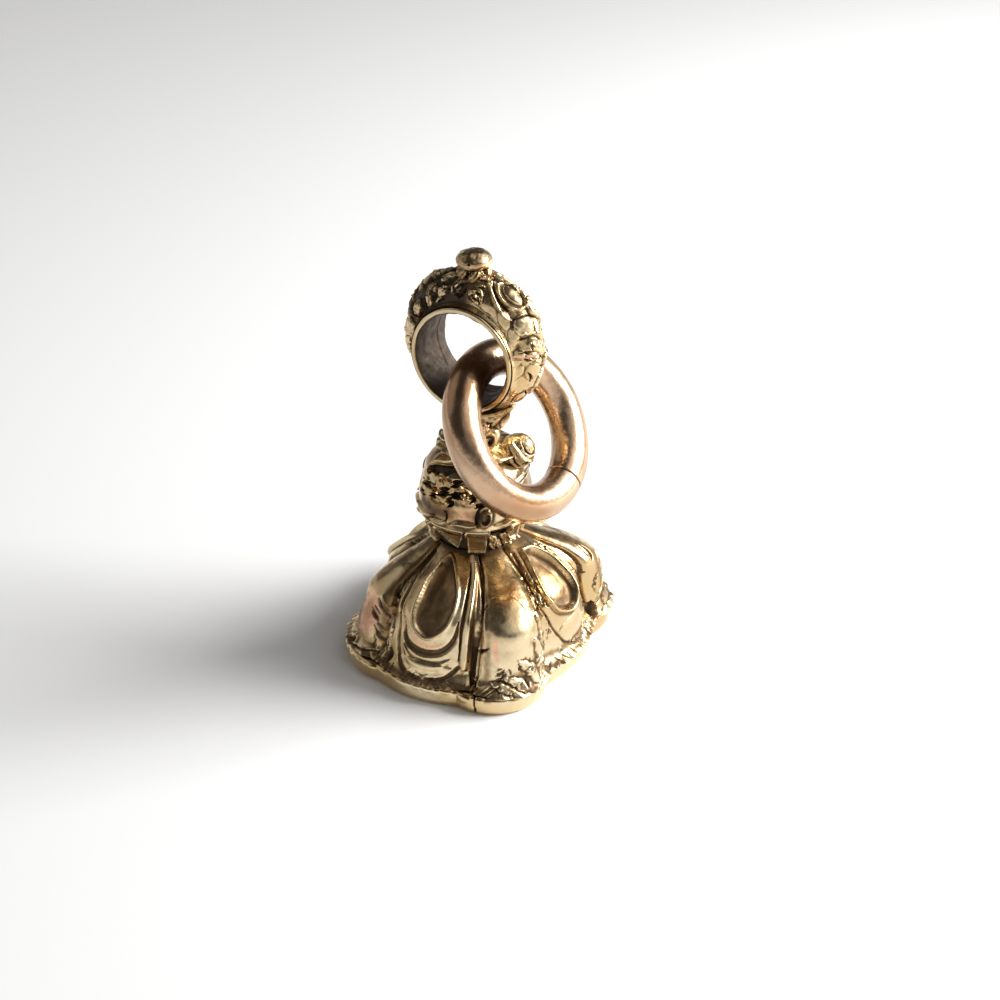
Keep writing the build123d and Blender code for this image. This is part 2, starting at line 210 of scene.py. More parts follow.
def blurred(values: Grid, reach: tuple[int, int], wrap: tuple[bool, bool]) -> Grid:
    """A grid of values, averaged over a window twice.

    Args:
        values: Columns by rows.
        reach: Half the window, in columns and in rows.
        wrap: Whether the columns, and the rows, run on into each other at the ends.

    Returns:
        The averaged grid.
    """
    made = values
    for _ in range(2):
        for axis in (0, 1):
            half = max(1, min(reach[axis], made.shape[axis] // 2 - 1))
            pads = [(0, 0), (0, 0)]
            pads[axis] = (half + 1, half)
            padded = np.pad(made, pads, mode="wrap" if wrap[axis] else "edge")
            sums = np.cumsum(padded, axis=axis)
            count = 2 * half + 1
            high = np.take(sums, range(count, sums.shape[axis]), axis=axis)
            low = np.take(sums, range(0, sums.shape[axis] - count), axis=axis)
            made = (high - low) / count
    return made


def tapered(share: Grid, width: float, taper: Taper) -> Grid:
    """Half widths of a line from its share of length.

    Args:
        share: Share of length, from 0 to 1.
        width: The greatest half width.
        taper: How it runs.

    Returns:
        The half widths.
    """
    if taper is Taper.BOTH:
        return width * np.maximum(np.sin(math.pi * np.clip(share, 0.02, 0.98)), 0.05) ** 0.7
    if taper is Taper.TIP:
        return width * np.maximum(1 - share, 0.06) ** 0.7
    return np.full(share.shape, width)


@dataclass
class Near:
    """The part of a skin near a line or a point, measured against it."""

    window: tuple[Grid, Grid]
    distance: Grid
    share: Grid
    side: Grid
    across: Grid
    along: Grid


@dataclass
class Skin:
    """One carved surface as a grid, with columns round it and rows along it.

    Marks are pairs of an angle in degrees and a place along the rows in millimetres.
    """

    angles: Grid
    points: Grid
    along: Grid
    girth: Grid
    closed: bool = True
    looped: bool = False
    relief: Grid = field(init=False)
    dirt_and_shade: Grid = field(init=False)
    red_reflection_and_solder: Grid = field(init=False)

    def __post_init__(self) -> None:
        """Starts plain, with no dirt, painted shade or painted reflection."""
        shape = self.points.shape[:2]
        self.along = np.broadcast_to(self.along, shape)
        self.girth = np.broadcast_to(self.girth, shape)
        self.relief = np.zeros(shape)
        self.dirt_and_shade = np.zeros(shape)
        self.red_reflection_and_solder = np.zeros(shape)

    def near(self, marks: Sequence[Mark], margin: float, closed: bool = False) -> Near:
        """Measures the part of the grid that lies near a line.

        Args:
            marks: The line's marks.
            margin: How far from the line is near, in millimetres.
            closed: Whether the line runs back to its start.

        Returns:
            The measured part.
        """
        line = smooth_line(list(marks) + ([marks[0]] if closed else []))
        turns = np.radians(line[:, 0])
        middle = 0.5 * (turns.min() + turns.max())
        turn = (self.angles - middle + math.pi) % TURN - math.pi
        home = int(np.argmin(np.abs(turn)))
        reach = np.maximum(np.interp(line[:, 1], self.along[home], self.girth[home]), 0.05)
        spread = 0.5 * (turns.max() - turns.min()) + margin / float(reach.min())
        columns = np.flatnonzero(np.abs(turn) <= spread + 0.02)
        if not len(columns):
            columns = np.array([home])
        some = self.along[columns]
        rows = np.flatnonzero(
            (some.max(axis=0) >= line[:, 1].min() - margin) & (some.min(axis=0) <= line[:, 1].max() + margin)
        )
        window = np.ix_(columns, rows)
        across = turn[columns][:, None] * self.girth[window]
        along = self.along[window]
        line_across = (turns - middle) * reach
        line_along = line[:, 1]
        nearest = np.full(across.shape, 1e6)
        share = np.zeros(across.shape)
        side = np.ones(across.shape)
        if len(line) == 1:
            away = along - line_along[0]
            return Near(window, np.hypot(across, away), share, side, across, away)
        lengths = np.hypot(np.diff(line_across), np.diff(line_along))
        total = max(lengths.sum(), 1e-9)
        run = 0.0
        for index, length in enumerate(lengths):
            if length < 1e-9:
                continue
            step_across = (line_across[index + 1] - line_across[index]) / length
            step_along = (line_along[index + 1] - line_along[index]) / length
            gap_across = across - line_across[index]
            gap_along = along - line_along[index]
            held = np.clip(gap_across * step_across + gap_along * step_along, 0, length)
            distance = np.hypot(gap_across - held * step_across, gap_along - held * step_along)
            closer = distance < nearest
            nearest = np.where(closer, distance, nearest)
            share = np.where(closer, (run + held) / total, share)
            side = np.where(closer, np.sign(step_across * gap_along - step_along * gap_across), side)
            run += length
        return Near(window, nearest, share, side, across, along)

    def girth_at(self, angle: float, place: float) -> float:
        """Distance from the axis at a mark, 0.3 mm at least."""
        column = int(np.argmin(np.abs((self.angles - math.radians(angle) + math.pi) % TURN - math.pi)))
        return max(float(np.interp(place, self.along[column], self.girth[column])), 0.3)

    def lift(self, near: Near, height: Grid) -> None:
        """Raises a measured part, or sinks it where the height is below zero."""
        self.relief[near.window] += height

    def soil_and_shade(self, near: Near, dirt_and_shade: Grid) -> None:
        """Darkens a measured part, with dirt and painted shade."""
        self.dirt_and_shade[near.window] = np.maximum(self.dirt_and_shade[near.window], dirt_and_shade)

    def darken(self, dirt_and_shade: Union[Grid, float]) -> None:
        """Darkens the whole skin."""
        self.dirt_and_shade = np.maximum(self.dirt_and_shade, dirt_and_shade)

    def polish_and_highlight(self, near: Near, share: Grid) -> None:
        """Takes a share of the dirt and painted shade off a measured part, so it stays bright as a painted
        highlight.
        """
        self.dirt_and_shade[near.window] *= 1 - share

    def paint_red_reflection(self, near: Near, red_reflection_and_solder: Grid) -> None:
        """Paints a reddish reflection on a measured part."""
        self.red_reflection_and_solder[near.window] = np.maximum(self.red_reflection_and_solder[near.window], red_reflection_and_solder)

    def ridge(self, marks: Sequence[Mark], width: float, height: float, dirt_and_shade: float = 0.0,
              taper: Taper = Taper.BOTH, closed: bool = False) -> None:
        """Adds a rounded ridge, or a cut where the height is below zero.

        Args:
            marks: The line.
            width: Half width, in millimetres.
            height: Height, in millimetres.
            dirt_and_shade: How dark it is, from 0 to 1, with dirt and painted shade.
            taper: How the width runs.
            closed: Whether the line runs back to its start.
        """
        near = self.near(marks, 1.1 * width, closed)
        level = mound(near.distance / tapered(near.share, width, taper))
        self.lift(near, height * level)
        if dirt_and_shade:
            self.soil_and_shade(near, dirt_and_shade * ease(level * 1.6))

    def boss(self, centre: Mark, reach: tuple[float, float], height: float, turn: float = 0.0,
             flat: float = 1.0, dirt_and_shade: float = 0.0) -> Near:
        """Adds a round boss, or a dish where the height is below zero.

        Args:
            centre: Its middle.
            reach: Half sizes across and along, in millimetres.
            height: Height, in millimetres.
            turn: Lean from upright, in degrees.
            flat: Above 1 for a flat top with steep sides.
            dirt_and_shade: How dark it is, with dirt and painted shade.

        Returns:
            The measured part, whose distance is 1 at the boss's edge.
        """
        near = self.near([centre], 1.7 * max(reach))
        lean = math.radians(turn)
        first = near.across * math.cos(lean) - near.along * math.sin(lean)
        second = near.across * math.sin(lean) + near.along * math.cos(lean)
        near.distance = np.hypot(first / reach[0], second / reach[1])
        if height:
            self.lift(near, height * np.sqrt(np.clip(1 - np.clip(near.distance, 0, 1) ** (2 * flat), 0, 1)))
        if dirt_and_shade:
            self.soil_and_shade(near, dirt_and_shade * ease(1.4 - near.distance))
        return near

    def bowl(self, marks: Sequence[Mark], depth: float, slope: float, cord: tuple[float, float],
             dirt_and_shade: float = 0.0) -> None:
        """Sinks a hollow inside a closed line, with a rounded cord on the line.

        Args:
            marks: The line, once round.
            depth: How deep the hollow is, in millimetres.
            slope: How wide its sloping side is, in millimetres.
            cord: The cord's half width and height, in millimetres.
            dirt_and_shade: How dark the hollow is, with dirt and painted shade.
        """
        near = self.near(marks, 2.0 * cord[0], True)
        line = smooth_line(list(marks) + [marks[0]])
        hand = np.sign(np.sum(line[:-1, 0] * np.diff(line[:, 1]) - line[:-1, 1] * np.diff(line[:, 0])))
        inward = near.distance * np.where(near.side == hand, 1.0, -1.0)
        fall = np.sqrt(np.clip(1 - (1 - np.clip((inward - 0.4 * cord[0]) / slope, 0, 1)) ** 2, 0, 1))
        self.lift(near, -depth * fall)
        self.lift(near, cord[1] * mound(near.distance / cord[0]))
        self.soil_and_shade(near, dirt_and_shade * ease((inward - 0.5 * cord[0]) / 0.12))

    def leaf(self, marks: Sequence[Mark], width: float, height: float, teeth: int = 3, seed: int = 0) -> None:
        """Lays a veined leaf with toothed edges along a line.

        Args:
            marks: From its stalk to its tip.
            width: Half width, in millimetres.
            height: Height, in millimetres.
            teeth: Lobes on each side.
            seed: Varies the teeth.
        """
        near = self.near(marks, 1.6 * width)
        share = near.share
        wave = np.abs(np.sin(math.pi * (share * teeth + 0.17 * seed + 0.25 * (near.side > 0))))
        body = np.maximum(np.sin(math.pi * np.clip(share, 0.01, 0.99) ** 0.8), 0.02) ** 0.6
        edge = width * body * (0.72 + 0.28 * wave)
        out = near.distance / edge
        inside = ease((1 - out) * 3.0)
        crown = np.sqrt(np.clip(1 - 0.7 * np.clip(out, 0, 1) ** 2, 0, 1))
        vein = mound(near.distance / (0.16 * width + 0.03))
        comb = 0.5 + 0.5 * np.cos(TURN * (share * teeth * 1.6 - out * 0.7))
        under = self.relief[near.window]
        rim = mound((out - 1.12) / 0.3) * (share > 0.02) * (share < 0.98)
        made = np.maximum(under, under * 0.35 + inside * height * (crown - 0.16 * comb * out))
        self.relief[near.window] = made - inside * 0.3 * height * vein - 0.45 * height * rim
        self.soil_and_shade(near, 0.75 * rim)

    def scroll(self, centre: Mark, radius: float, height: float, turns: float = 1.6, start: float = 0.0,
               hand: int = 1, width: float = 0.12) -> None:
        """Lays a curled cord that ends in a bead.

        Args:
            centre: The bead's middle.
            radius: The outermost turn's radius, in millimetres.
            height: Height, in millimetres.
            turns: How many times it goes round.
            start: Where the outer end is, in degrees.
            hand: 1 or -1, which way it curls.
            width: Half width of the cord, in millimetres.
        """
        girth = self.girth_at(*centre)
        marks = []
        for index in range(int(turns * 10) + 1):
            share = index / (turns * 10)
            angle = math.radians(start) + hand * TURN * turns * share
            reach = radius * (1 - 0.78 * share)
            marks.append((centre[0] + math.degrees(reach * math.cos(angle) / girth),
                          centre[1] + reach * math.sin(angle)))
        near = self.near(marks, radius)
        cord = mound(near.distance / (width * (1.15 - 0.4 * near.share)))
        disc = self.boss(centre, (radius, radius), 0.0)
        self.lift(disc, -0.45 * height * ease((1.1 - disc.distance) / 0.2))
        self.soil_and_shade(disc, 0.6 * ease((1.15 - disc.distance) / 0.2))
        self.lift(near, height * cord)
        self.polish_and_highlight(near, 0.7 * cord)
        self.boss(centre, (0.3 * radius, 0.3 * radius), height)

    def mottle(self, size: float, height: float, seed: int, mask: Union[Grid, float] = 1.0,
               octaves: int = 3) -> None:
        """Roughens the surface with soft hills, as much as the mask says."""
        self.relief += height * mask * cloud(self.points, size, seed, octaves)

    def chase(self, span: tuple[float, float], rows: tuple[float, float], count: int, length: float,
              depth: float, lean: float, seed: int, spread: float = 40.0) -> None:
        """Scatters short tool cuts with raised lips.

        Args:
            span: First and last angle, in degrees.
            rows: First and last place along.
            count: How many cuts.
            length: How long they are, in millimetres.
            depth: How deep, in millimetres.
            lean: Their lean from upright, in degrees.
            seed: Which scatter.
            spread: How far the lean varies.
        """
        dice = np.random.default_rng(seed)
        for _ in range(count):
            angle = dice.uniform(*span)
            place = dice.uniform(*rows)
            tilt = math.radians(lean + dice.uniform(-spread, spread))
            half = 0.5 * length * dice.uniform(0.6, 1.3)
            girth = self.girth_at(angle, place)
            swing = math.degrees(half * math.sin(tilt) / girth)
            bend = math.degrees(0.25 * half * math.cos(tilt) / girth) * dice.choice((-1, 1))
            marks = [
                (angle - swing, place - half * math.cos(tilt)),
                (angle + bend, place),
                (angle + swing, place + half * math.cos(tilt)),
            ]
            wide = dice.uniform(0.06, 0.11)
            near = self.near(marks, 3.0 * wide)
            edge = tapered(near.share, wide, Taper.BOTH)
            self.lift(near, -depth * mound(near.distance / edge))
            lip = mound((near.distance - 1.5 * edge) / (1.3 * edge))
            self.lift(near, 0.7 * depth * lip * (near.side > 0))
            self.soil_and_shade(near, 0.8 * mound(near.distance / (1.1 * edge)))

    def soak_and_shade(self, fine: float = 0.16, broad: float = 0.5, strength: float = 1.0) -> None:
        """Darkens what lies below its surroundings: old dirt and tarnish, and painted shade in the hollows.

        Args:
            fine: Reach of the small hollows, in millimetres.
            broad: Reach of the wide hollows, in millimetres.
            strength: How strongly hollows darken.
        """
        column_step = float(np.median(self.girth)) * abs(self.angles[1] - self.angles[0])
        row_step = float(np.median(np.abs(np.diff(self.along, axis=1))))
        hollow = np.zeros(self.relief.shape)
        for reach, depth in ((fine, FINE_HOLLOW), (broad, BROAD_HOLLOW)):
            window = (int(reach / column_step) + 1, int(reach / row_step) + 1)
            drop = blurred(self.relief, window, (self.closed, self.looped)) - self.relief
            hollow = np.maximum(hollow, ease(drop / depth - 0.15))
        self.darken(strength * hollow)

    def normals(self) -> Grid:
        """Unit normals of the plain surface, outwards."""
        if self.closed:
            across = np.roll(self.points, -1, axis=0) - np.roll(self.points, 1, axis=0)
        else:
            across = np.gradient(self.points, axis=0)
        if self.looped:
            upward = np.roll(self.points, -1, axis=1) - np.roll(self.points, 1, axis=1)
        else:
            upward = np.gradient(self.points, axis=1)
        made = np.cross(across, upward)
        length = np.linalg.norm(made, axis=2, keepdims=True)
        return made / np.maximum(length, 1e-12)

    def carved(self) -> Grid:
        """The grid's points with the relief laid on."""
        return self.points + self.normals() * self.relief[..., None]


def blank_sheet(columns: int, rows: int, half: float = 1.0) -> bpy.types.Mesh:
    """A flat sheet of squares, to be bent to shape.

    Args:
        columns: Lines of vertices across.
        rows: Lines of vertices along.
        half: Half of its side.

    Returns:
        The sheet, round the origin.
    """
    sheet = bmesh.new()
    bmesh.ops.create_grid(sheet, x_segments=columns - 1, y_segments=rows - 1, size=half)
    made = bpy.data.meshes.new("sheet")
    sheet.to_mesh(made)
    sheet.free()
    return made


def put_in_scene(name: str, data: Any) -> bpy.types.Object:
    """A new object in the scene."""
    made = bpy.data.objects.new(name, data)
    bpy.context.scene.collection.objects.link(made)
    return made


def wrapped(outer: Grid, inner: Optional[Grid], kind: Blank, closed: bool) -> Grid:
    """Lays the carved side and the plain side end to end, and repeats the first line where they close.

    Args:
        outer: Values on the carved side, columns by rows.
        inner: Values on the plain side, for a sleeve.
        kind: The piece's form.
        closed: Whether the columns run on into each other.

    Returns:
        One grid of values for the whole sheet.
    """
    made = outer
    if kind is Blank.SLEEVE:
        made = np.concatenate([outer, inner[:, ::-1], outer[:, :1]], axis=1)
    elif kind is Blank.TUBE:
        made = np.concatenate([outer, outer[:, :1]], axis=1)
    if closed:
        made = np.concatenate([made, made[:1]], axis=0)
    return made


def skin_mesh(name: str, skin: Skin, inner: Optional[Grid] = None) -> bpy.types.Mesh:
    """Bends a sheet onto a carved skin, closes it and smooths it.

    Args:
        name: The mesh's name.
        skin: The carved side.
        inner: The plain side's points, for a sleeve.

    Returns:
        The mesh, in metres, with its dirt and painted shade, and its red of painted reflection and solder.
    """
    carved = skin.carved()
    kind = Blank.TUBE if skin.looped else Blank.SOLID if inner is None else Blank.SLEEVE
    if kind is Blank.SOLID:
        carved[:, 0] = carved[:, 0].mean(axis=0)
        carved[:, -1] = carved[:, -1].mean(axis=0)
    plain = None if inner is None else inner.shape[:2]
    shape = wrapped(carved, inner, kind, skin.closed)
    mesh = blank_sheet(*shape.shape[:2])
    mesh.name = name
    flat = np.zeros(len(mesh.vertices) * 3)
    mesh.vertices.foreach_get("co", flat)
    share = 0.5 * (flat.reshape(-1, 3)[:, :2] + 1)
    column = np.rint(share[:, 0] * (shape.shape[0] - 1)).astype(int)
    row = np.rint(share[:, 1] * (shape.shape[1] - 1)).astype(int)
    mesh.vertices.foreach_set("co", (shape[column, row] * MM).astype(np.float32).ravel())
    # The inner faces carry painted shade and no red.
    for label, values, hidden in (("dirt_and_shade", skin.dirt_and_shade, INNER_PAINTED_SHADE), ("red_reflection_and_solder", skin.red_reflection_and_solder, 0.0)):
        layer = mesh.attributes.new(label, "FLOAT", "POINT")
        whole = wrapped(values, None if plain is None else np.full(plain, hidden), kind, skin.closed)
        layer.data.foreach_set("value", whole[column, row].astype(np.float32))
    tidy = bmesh.new()
    tidy.from_mesh(mesh)
    bmesh.ops.remove_doubles(tidy, verts=tidy.verts[:], dist=MERGE_DISTANCE)
    edges = [edge for edge in tidy.edges if edge.is_boundary]
    if edges:
        caps = bmesh.ops.edgeloop_fill(tidy, edges=edges)["faces"]
        bmesh.ops.triangulate(tidy, faces=caps)
    bmesh.ops.recalc_face_normals(tidy, faces=tidy.faces[:])
    tidy.to_mesh(mesh)
    tidy.free()
    mesh.polygons.foreach_set("use_smooth", np.ones(len(mesh.polygons), bool))
    mesh.set_sharp_from_angle(angle=math.radians(SHARP_ANGLE))
    mesh.update()
    return mesh


class Wire:
    """A value or colour on its way between shader nodes, with arithmetic."""

    def __init__(self, graph: "Graph", socket: bpy.types.NodeSocket) -> None:
        """Holds one output socket of a graph."""
        self.graph = graph
        self.socket = socket

    def combine(self, operation: str, other: "Term", swapped: bool = False) -> "Wire":
        """Adds one Math node; when swapped, the other term comes first."""
        terms = (other, self) if swapped else (self, other)
        return self.graph.node("ShaderNodeMath", {"operation": operation}, {0: terms[0], 1: terms[1]})

    def __add__(self, other: "Term") -> "Wire":
        """Sum."""
        return self.combine("ADD", other)

    def __radd__(self, other: "Term") -> "Wire":
        """Sum, reflected."""
        return self.combine("ADD", other, True)

    def __sub__(self, other: "Term") -> "Wire":
        """Difference."""
        return self.combine("SUBTRACT", other)

    def __rsub__(self, other: "Term") -> "Wire":
        """Difference, reflected."""
        return self.combine("SUBTRACT", other, True)

    def __mul__(self, other: "Term") -> "Wire":
        """Product."""
        return self.combine("MULTIPLY", other)

    def __rmul__(self, other: "Term") -> "Wire":
        """Product, reflected."""
        return self.combine("MULTIPLY", other, True)


Term = Union[Wire, float]


class Graph:
    """The node tree of one material or world."""

    def __init__(self, tree: bpy.types.NodeTree) -> None:
        """Empties the tree."""
        self.tree = tree
        tree.nodes.clear()

    def node(self, kind: str, settings: Optional[dict[str, Any]] = None,
             sockets: Optional[dict[Any, Any]] = None, out: Union[int, str] = 0) -> Wire:
        """Adds a node.

        Args:
            kind: The node's type.
            settings: Its settings, set first.
            sockets: Values or wires for its inputs.
            out: Which output is wanted.

        Returns:
            That output.
        """
        made = self.tree.nodes.new(kind)
        for key, value in (settings or {}).items():
            setattr(made, key, value)
        for key, value in (sockets or {}).items():
            if isinstance(value, Wire):
                self.tree.links.new(value.socket, made.inputs[key])
            else:
                made.inputs[key].default_value = value
        return Wire(self, made.outputs[out] if len(made.outputs) else None)

    def step(self, value: Term, low: float, high: float) -> Wire:
        """A soft step from 0 to 1 between two levels."""
        return self.node(
            "ShaderNodeMapRange", {"interpolation_type": "SMOOTHSTEP"},
            {0: value, 1: low, 2: high, 3: 0.0, 4: 1.0}
        )

    def mix(self, factor: Term, first: Any, second: Any) -> Wire:
        """A mix of two colours."""
        return self.node("ShaderNodeMix", {"data_type": "RGBA"}, {0: factor, 6: first, 7: second}, out=2)

    def noise(self, place: Wire, scale: float, detail: float = 3.0, roughness: float = 0.5) -> Wire:
        """Noise from 0 to 1 over a place."""
        return self.node(
            "ShaderNodeTexNoise", {},
            {"Vector": place, "Scale": scale, "Detail": detail, "Roughness": roughness}
        )

    def attribute(self, name: str) -> Wire:
        """A number that the mesh carries at each vertex."""
        return self.node("ShaderNodeAttribute", {"attribute_name": name}, out="Fac")

    def place(self) -> Wire:
        """Object coordinates."""
        return self.node("ShaderNodeTexCoord", out="Object")


Colour = tuple[float, float, float, float]


def tint(red: float, green: float, blue: float) -> Colour:
    """A colour with full cover."""
    return (red, green, blue, 1.0)


def new_material(name: str) -> tuple[bpy.types.Material, Graph]:
    """An empty material and its graph."""
    made = bpy.data.materials.new(name)
    made.use_nodes = True
    return made, Graph(made.node_tree)


@dataclass(frozen=True)
class Metal:
    """Old gold: pale where it is rubbed, deeper in places, reddened where a reflection is painted, and dark
    where dirt and tarnish lie and where shade is painted.
    """

    name: str
    pale: Colour = tint(0.78, 0.645, 0.42)
    deep: Colour = tint(0.60, 0.43, 0.22)
    patina: Colour = tint(0.24, 0.14, 0.06)
    # The red of painted reflections and of the solder line.
    red_reflection_and_solder: Colour = tint(0.74, 0.37, 0.25)
    dirt_and_shade: Colour = tint(0.045, 0.026, 0.011)
    rough: tuple[float, float] = (0.2, 0.36)
    stain_rough: float = 0.6
    grime_and_shade: float = 0.25
    scratch: float = 0.25
    hammer: float = 0.3
    carved: bool = True
    patch_scale: float = 260.0
    speckle_scale: float = 2600.0
    streak_scale: tuple[float, float, float] = (5200.0, 5200.0, 700.0)
    hammer_scale: float = 900.0
    film_cover: float = 0.92
    red_reflection_and_solder_cover: float = 0.8
    bump_depth: float = 0.00006

    def build(self) -> bpy.types.Material:
        """Makes the material.

        Returns:
            The finished material.
        """
        made, graph = new_material(self.name)
        place = graph.place()
        patches = graph.noise(place, self.patch_scale, 3.0)
        speckle = graph.noise(place, self.speckle_scale, 4.0, 0.65)
        streaks = graph.noise(graph.node("ShaderNodeVectorMath", {"operation": "MULTIPLY"},
                                         {0: place, 1: self.streak_scale}), 1.0, 4.0, 0.6)
        if self.carved:
            dirt_and_shade_mask = graph.attribute("dirt_and_shade")
            reddened = graph.attribute("red_reflection_and_solder")
        else:
            dirt_and_shade_mask = graph.step(patches, 0.62, 0.8) * 0.3
            reddened = dirt_and_shade_mask * 0.0
        # The mask holds dirt, tarnish and painted shade: light levels lay the patina film, which also paints
        # the brown shade, and high levels lay near-black dirt and painted shade.
        loose = dirt_and_shade_mask + (speckle - 0.5) * 0.45 + (patches - 0.5) * self.grime_and_shade
        dirt = graph.step(loose, 0.5, 1.0)
        film = graph.step(loose, 0.04, 0.6)
        gold = graph.mix(graph.step(patches, 0.35, 0.7), self.deep, self.pale)
        # Painted reddish reflection, and the red of the solder line.
        ruddy = graph.step(reddened + (patches - 0.5) * 0.4, 0.2, 0.9)
        gold = graph.mix(ruddy * self.red_reflection_and_solder_cover, gold, self.red_reflection_and_solder)
        gold = graph.mix(film * self.film_cover, gold, self.patina)
        colour = graph.mix(dirt, gold, self.dirt_and_shade)
        low, high = self.rough
        rough = low + (high - low) * graph.step(speckle * 0.5 + patches * 0.5, 0.35, 0.7)
        rough = rough + film * 0.08 + dirt * (self.stain_rough - high)
        height = speckle * 0.35 + streaks * self.scratch
        height = height + graph.noise(place, self.hammer_scale, 2.0) * self.hammer
        bump = graph.node("ShaderNodeBump", {},
                          {"Strength": 0.35, "Distance": self.bump_depth, "Height": height})
        shader = graph.node("ShaderNodeBsdfPrincipled", {}, {
            "Base Color": colour, "Roughness": rough, "Metallic": 1.0 - dirt * 0.75, "Normal": bump,
        })
        graph.node("ShaderNodeOutputMaterial", {}, {"Surface": shader})
        return made


@dataclass(frozen=True)
class Mineral:
    """A stone, cement or filler: soft bands of two colours with a little grain."""

    name: str
    light: Colour
    dark: Colour
    scale: float = 300.0
    rough: float = 0.5
    bands: float = 3.0
    grain: float = 0.3

    def build(self) -> bpy.types.Material:
        """Makes the material.

        Returns:
            The finished material.
        """
        made, graph = new_material(self.name)
        place = graph.place()
        warp = graph.noise(place, self.scale, 4.0, 0.6)
        cloudy = graph.noise(place, self.scale * 2.3, 5.0, 0.7)
        wave = graph.node("ShaderNodeMath", {"operation": "SINE"}, {0: (warp * self.bands + cloudy) * 6.0})
        share = graph.step(wave * 0.5 + cloudy, 0.2, 1.2)
        colour = graph.mix(share, self.dark, self.light)
        bump = graph.node("ShaderNodeBump", {}, {
            "Strength": self.grain, "Distance": 0.00005, "Height": graph.noise(place, 4000.0, 4.0, 0.7),
        })
        shader = graph.node("ShaderNodeBsdfPrincipled", {}, {
            "Base Color": colour, "Roughness": self.rough + cloudy * 0.15, "Normal": bump,
        })
        graph.node("ShaderNodeOutputMaterial", {}, {"Surface": shader})
        return made


@dataclass
class Finishes:
    """Every finish of the fob, by slot."""

    made: dict[Slot, bpy.types.Material] = field(default_factory=dict)

    def build(self) -> None:
        """Makes the materials."""
        finishes = {
            Slot.CASING: Metal("CasingGold"),
            Slot.CARVED: Metal("CarvedGold", grime_and_shade=0.5, rough=(0.2, 0.4)),
            Slot.PLAIN: Metal("PlainGold", grime_and_shade=0.2, rough=(0.16, 0.3), scratch=0.35),
            Slot.ROSE: Metal("RoseGold", pale=tint(0.63, 0.44, 0.29), deep=tint(0.42, 0.24, 0.13),
                             patina=tint(0.24, 0.11, 0.05), rough=(0.2, 0.3), scratch=0.5),
            Slot.STONE: Mineral("SealStone", tint(0.35, 0.05, 0.02), tint(0.12, 0.012, 0.006), 180.0, 0.12,
                                2.0, 0.05),
            Slot.CEMENT: Mineral("SettingCement", tint(0.30, 0.24, 0.17), tint(0.18, 0.13, 0.09), 700.0, 0.8),
            Slot.FILLER: Mineral("HardFiller", tint(0.10, 0.05, 0.025), tint(0.04, 0.02, 0.01), 500.0, 0.45),
            Slot.POST: Metal("PostBrass", pale=tint(0.70, 0.52, 0.25), deep=tint(0.52, 0.36, 0.15),
                             rough=(0.3, 0.45), carved=False),
        }
        self.made = {slot: finish.build() for slot, finish in finishes.items()}

    def of(self, slot: Slot) -> bpy.types.Material:
        """The material of a slot."""
        return self.made[slot]


class Bench:
    """Turns finished meshes into pieces of the object."""

    def __init__(self, finishes: Finishes) -> None:
        """Holds the finishes."""
        self.finishes = finishes

    def place(self, name: str, nodes: Sequence[str], slot: Slot, skin: Skin, inner: Optional[Grid] = None,
              body: str = "seal") -> None:
        """Makes a piece and puts it into the scene, on its body and in place of its nodes.

        Args:
            name: The piece's name.
            nodes: The nodes it stands for.
            slot: Its material slot.
            skin: Its carved side.
            inner: Its plain side's points, for a sleeve.
            body: The body it rides on.
        """
        mesh = skin_mesh(name, skin, inner)
        piece = put_in_scene(name, mesh)
        mesh.materials.append(self.finishes.of(slot))
        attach(piece, body)
        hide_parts(*nodes)
        mesh.calc_loop_triangles()
        log.info("%s: %d triangles, in place of %s", name, len(mesh.loop_triangles), ", ".join(nodes))

    def dress_node(self, node: str, slot: Slot) -> None:
        """Gives a node that stays its finish."""
        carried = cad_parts[node]
        carried.data.materials.clear()
        carried.data.materials.append(self.finishes.of(slot))
        log.info("%s: kept, in %s", node, slot.value)


def turned(angles: Grid, reach: Grid, heights: Grid) -> Grid:
    """Points round the upright axis, columns by rows, with angles from the front towards the right."""
    wide = np.broadcast_to(reach, (len(angles), len(heights)))
    return np.stack(
        [wide * np.sin(angles)[:, None], -wide * np.cos(angles)[:, None],
         np.broadcast_to(heights, wide.shape)], axis=2
    )


def even_angles(count: int) -> Grid:
    """Columns all the way round, in radians."""
    return np.arange(count) * TURN / count


def ball_rows(rows: int) -> tuple[Grid, Grid]:
    """Rows from pole to pole of a ball: the angle up, and the share of the radius there."""
    up = np.linspace(-math.pi / 2, math.pi / 2, rows)
    return up, np.maximum(np.cos(up), 1e-5)


def arc_reach(angles: Grid, outline: Sequence[Mark]) -> Grid:
    """Distance from the axis to an outline of arcs.

    Args:
        angles: Columns, in radians, from the front towards the right.
        outline: Valleys and crests by turns, as (x, y), from the valley left of the front.

    Returns:
        One distance for each angle.
    """
    made = np.zeros(len(angles))
    points = np.asarray(outline, float)
    for index in range(0, len(points), 2):
        start, crest, end = points[index], points[index + 1], points[(index + 2) % len(points)]
        rows = np.stack([2 * (crest - start), 2 * (end - start)])
        sums = np.array([crest @ crest - start @ start, end @ end - start @ start])
        centre = np.linalg.solve(rows, sums)
        radius = np.linalg.norm(centre - start)
        first = math.atan2(start[0], -start[1])
        last = math.atan2(end[0], -end[1])
        inside = (angles - first) % TURN <= (last - first) % TURN + 1e-9
        ways = np.stack([np.sin(angles[inside]), -np.cos(angles[inside])], 1)
        toward = ways @ centre
        made[inside] = toward + np.sqrt(np.maximum(toward**2 - centre @ centre + radius**2, 0))
    return made


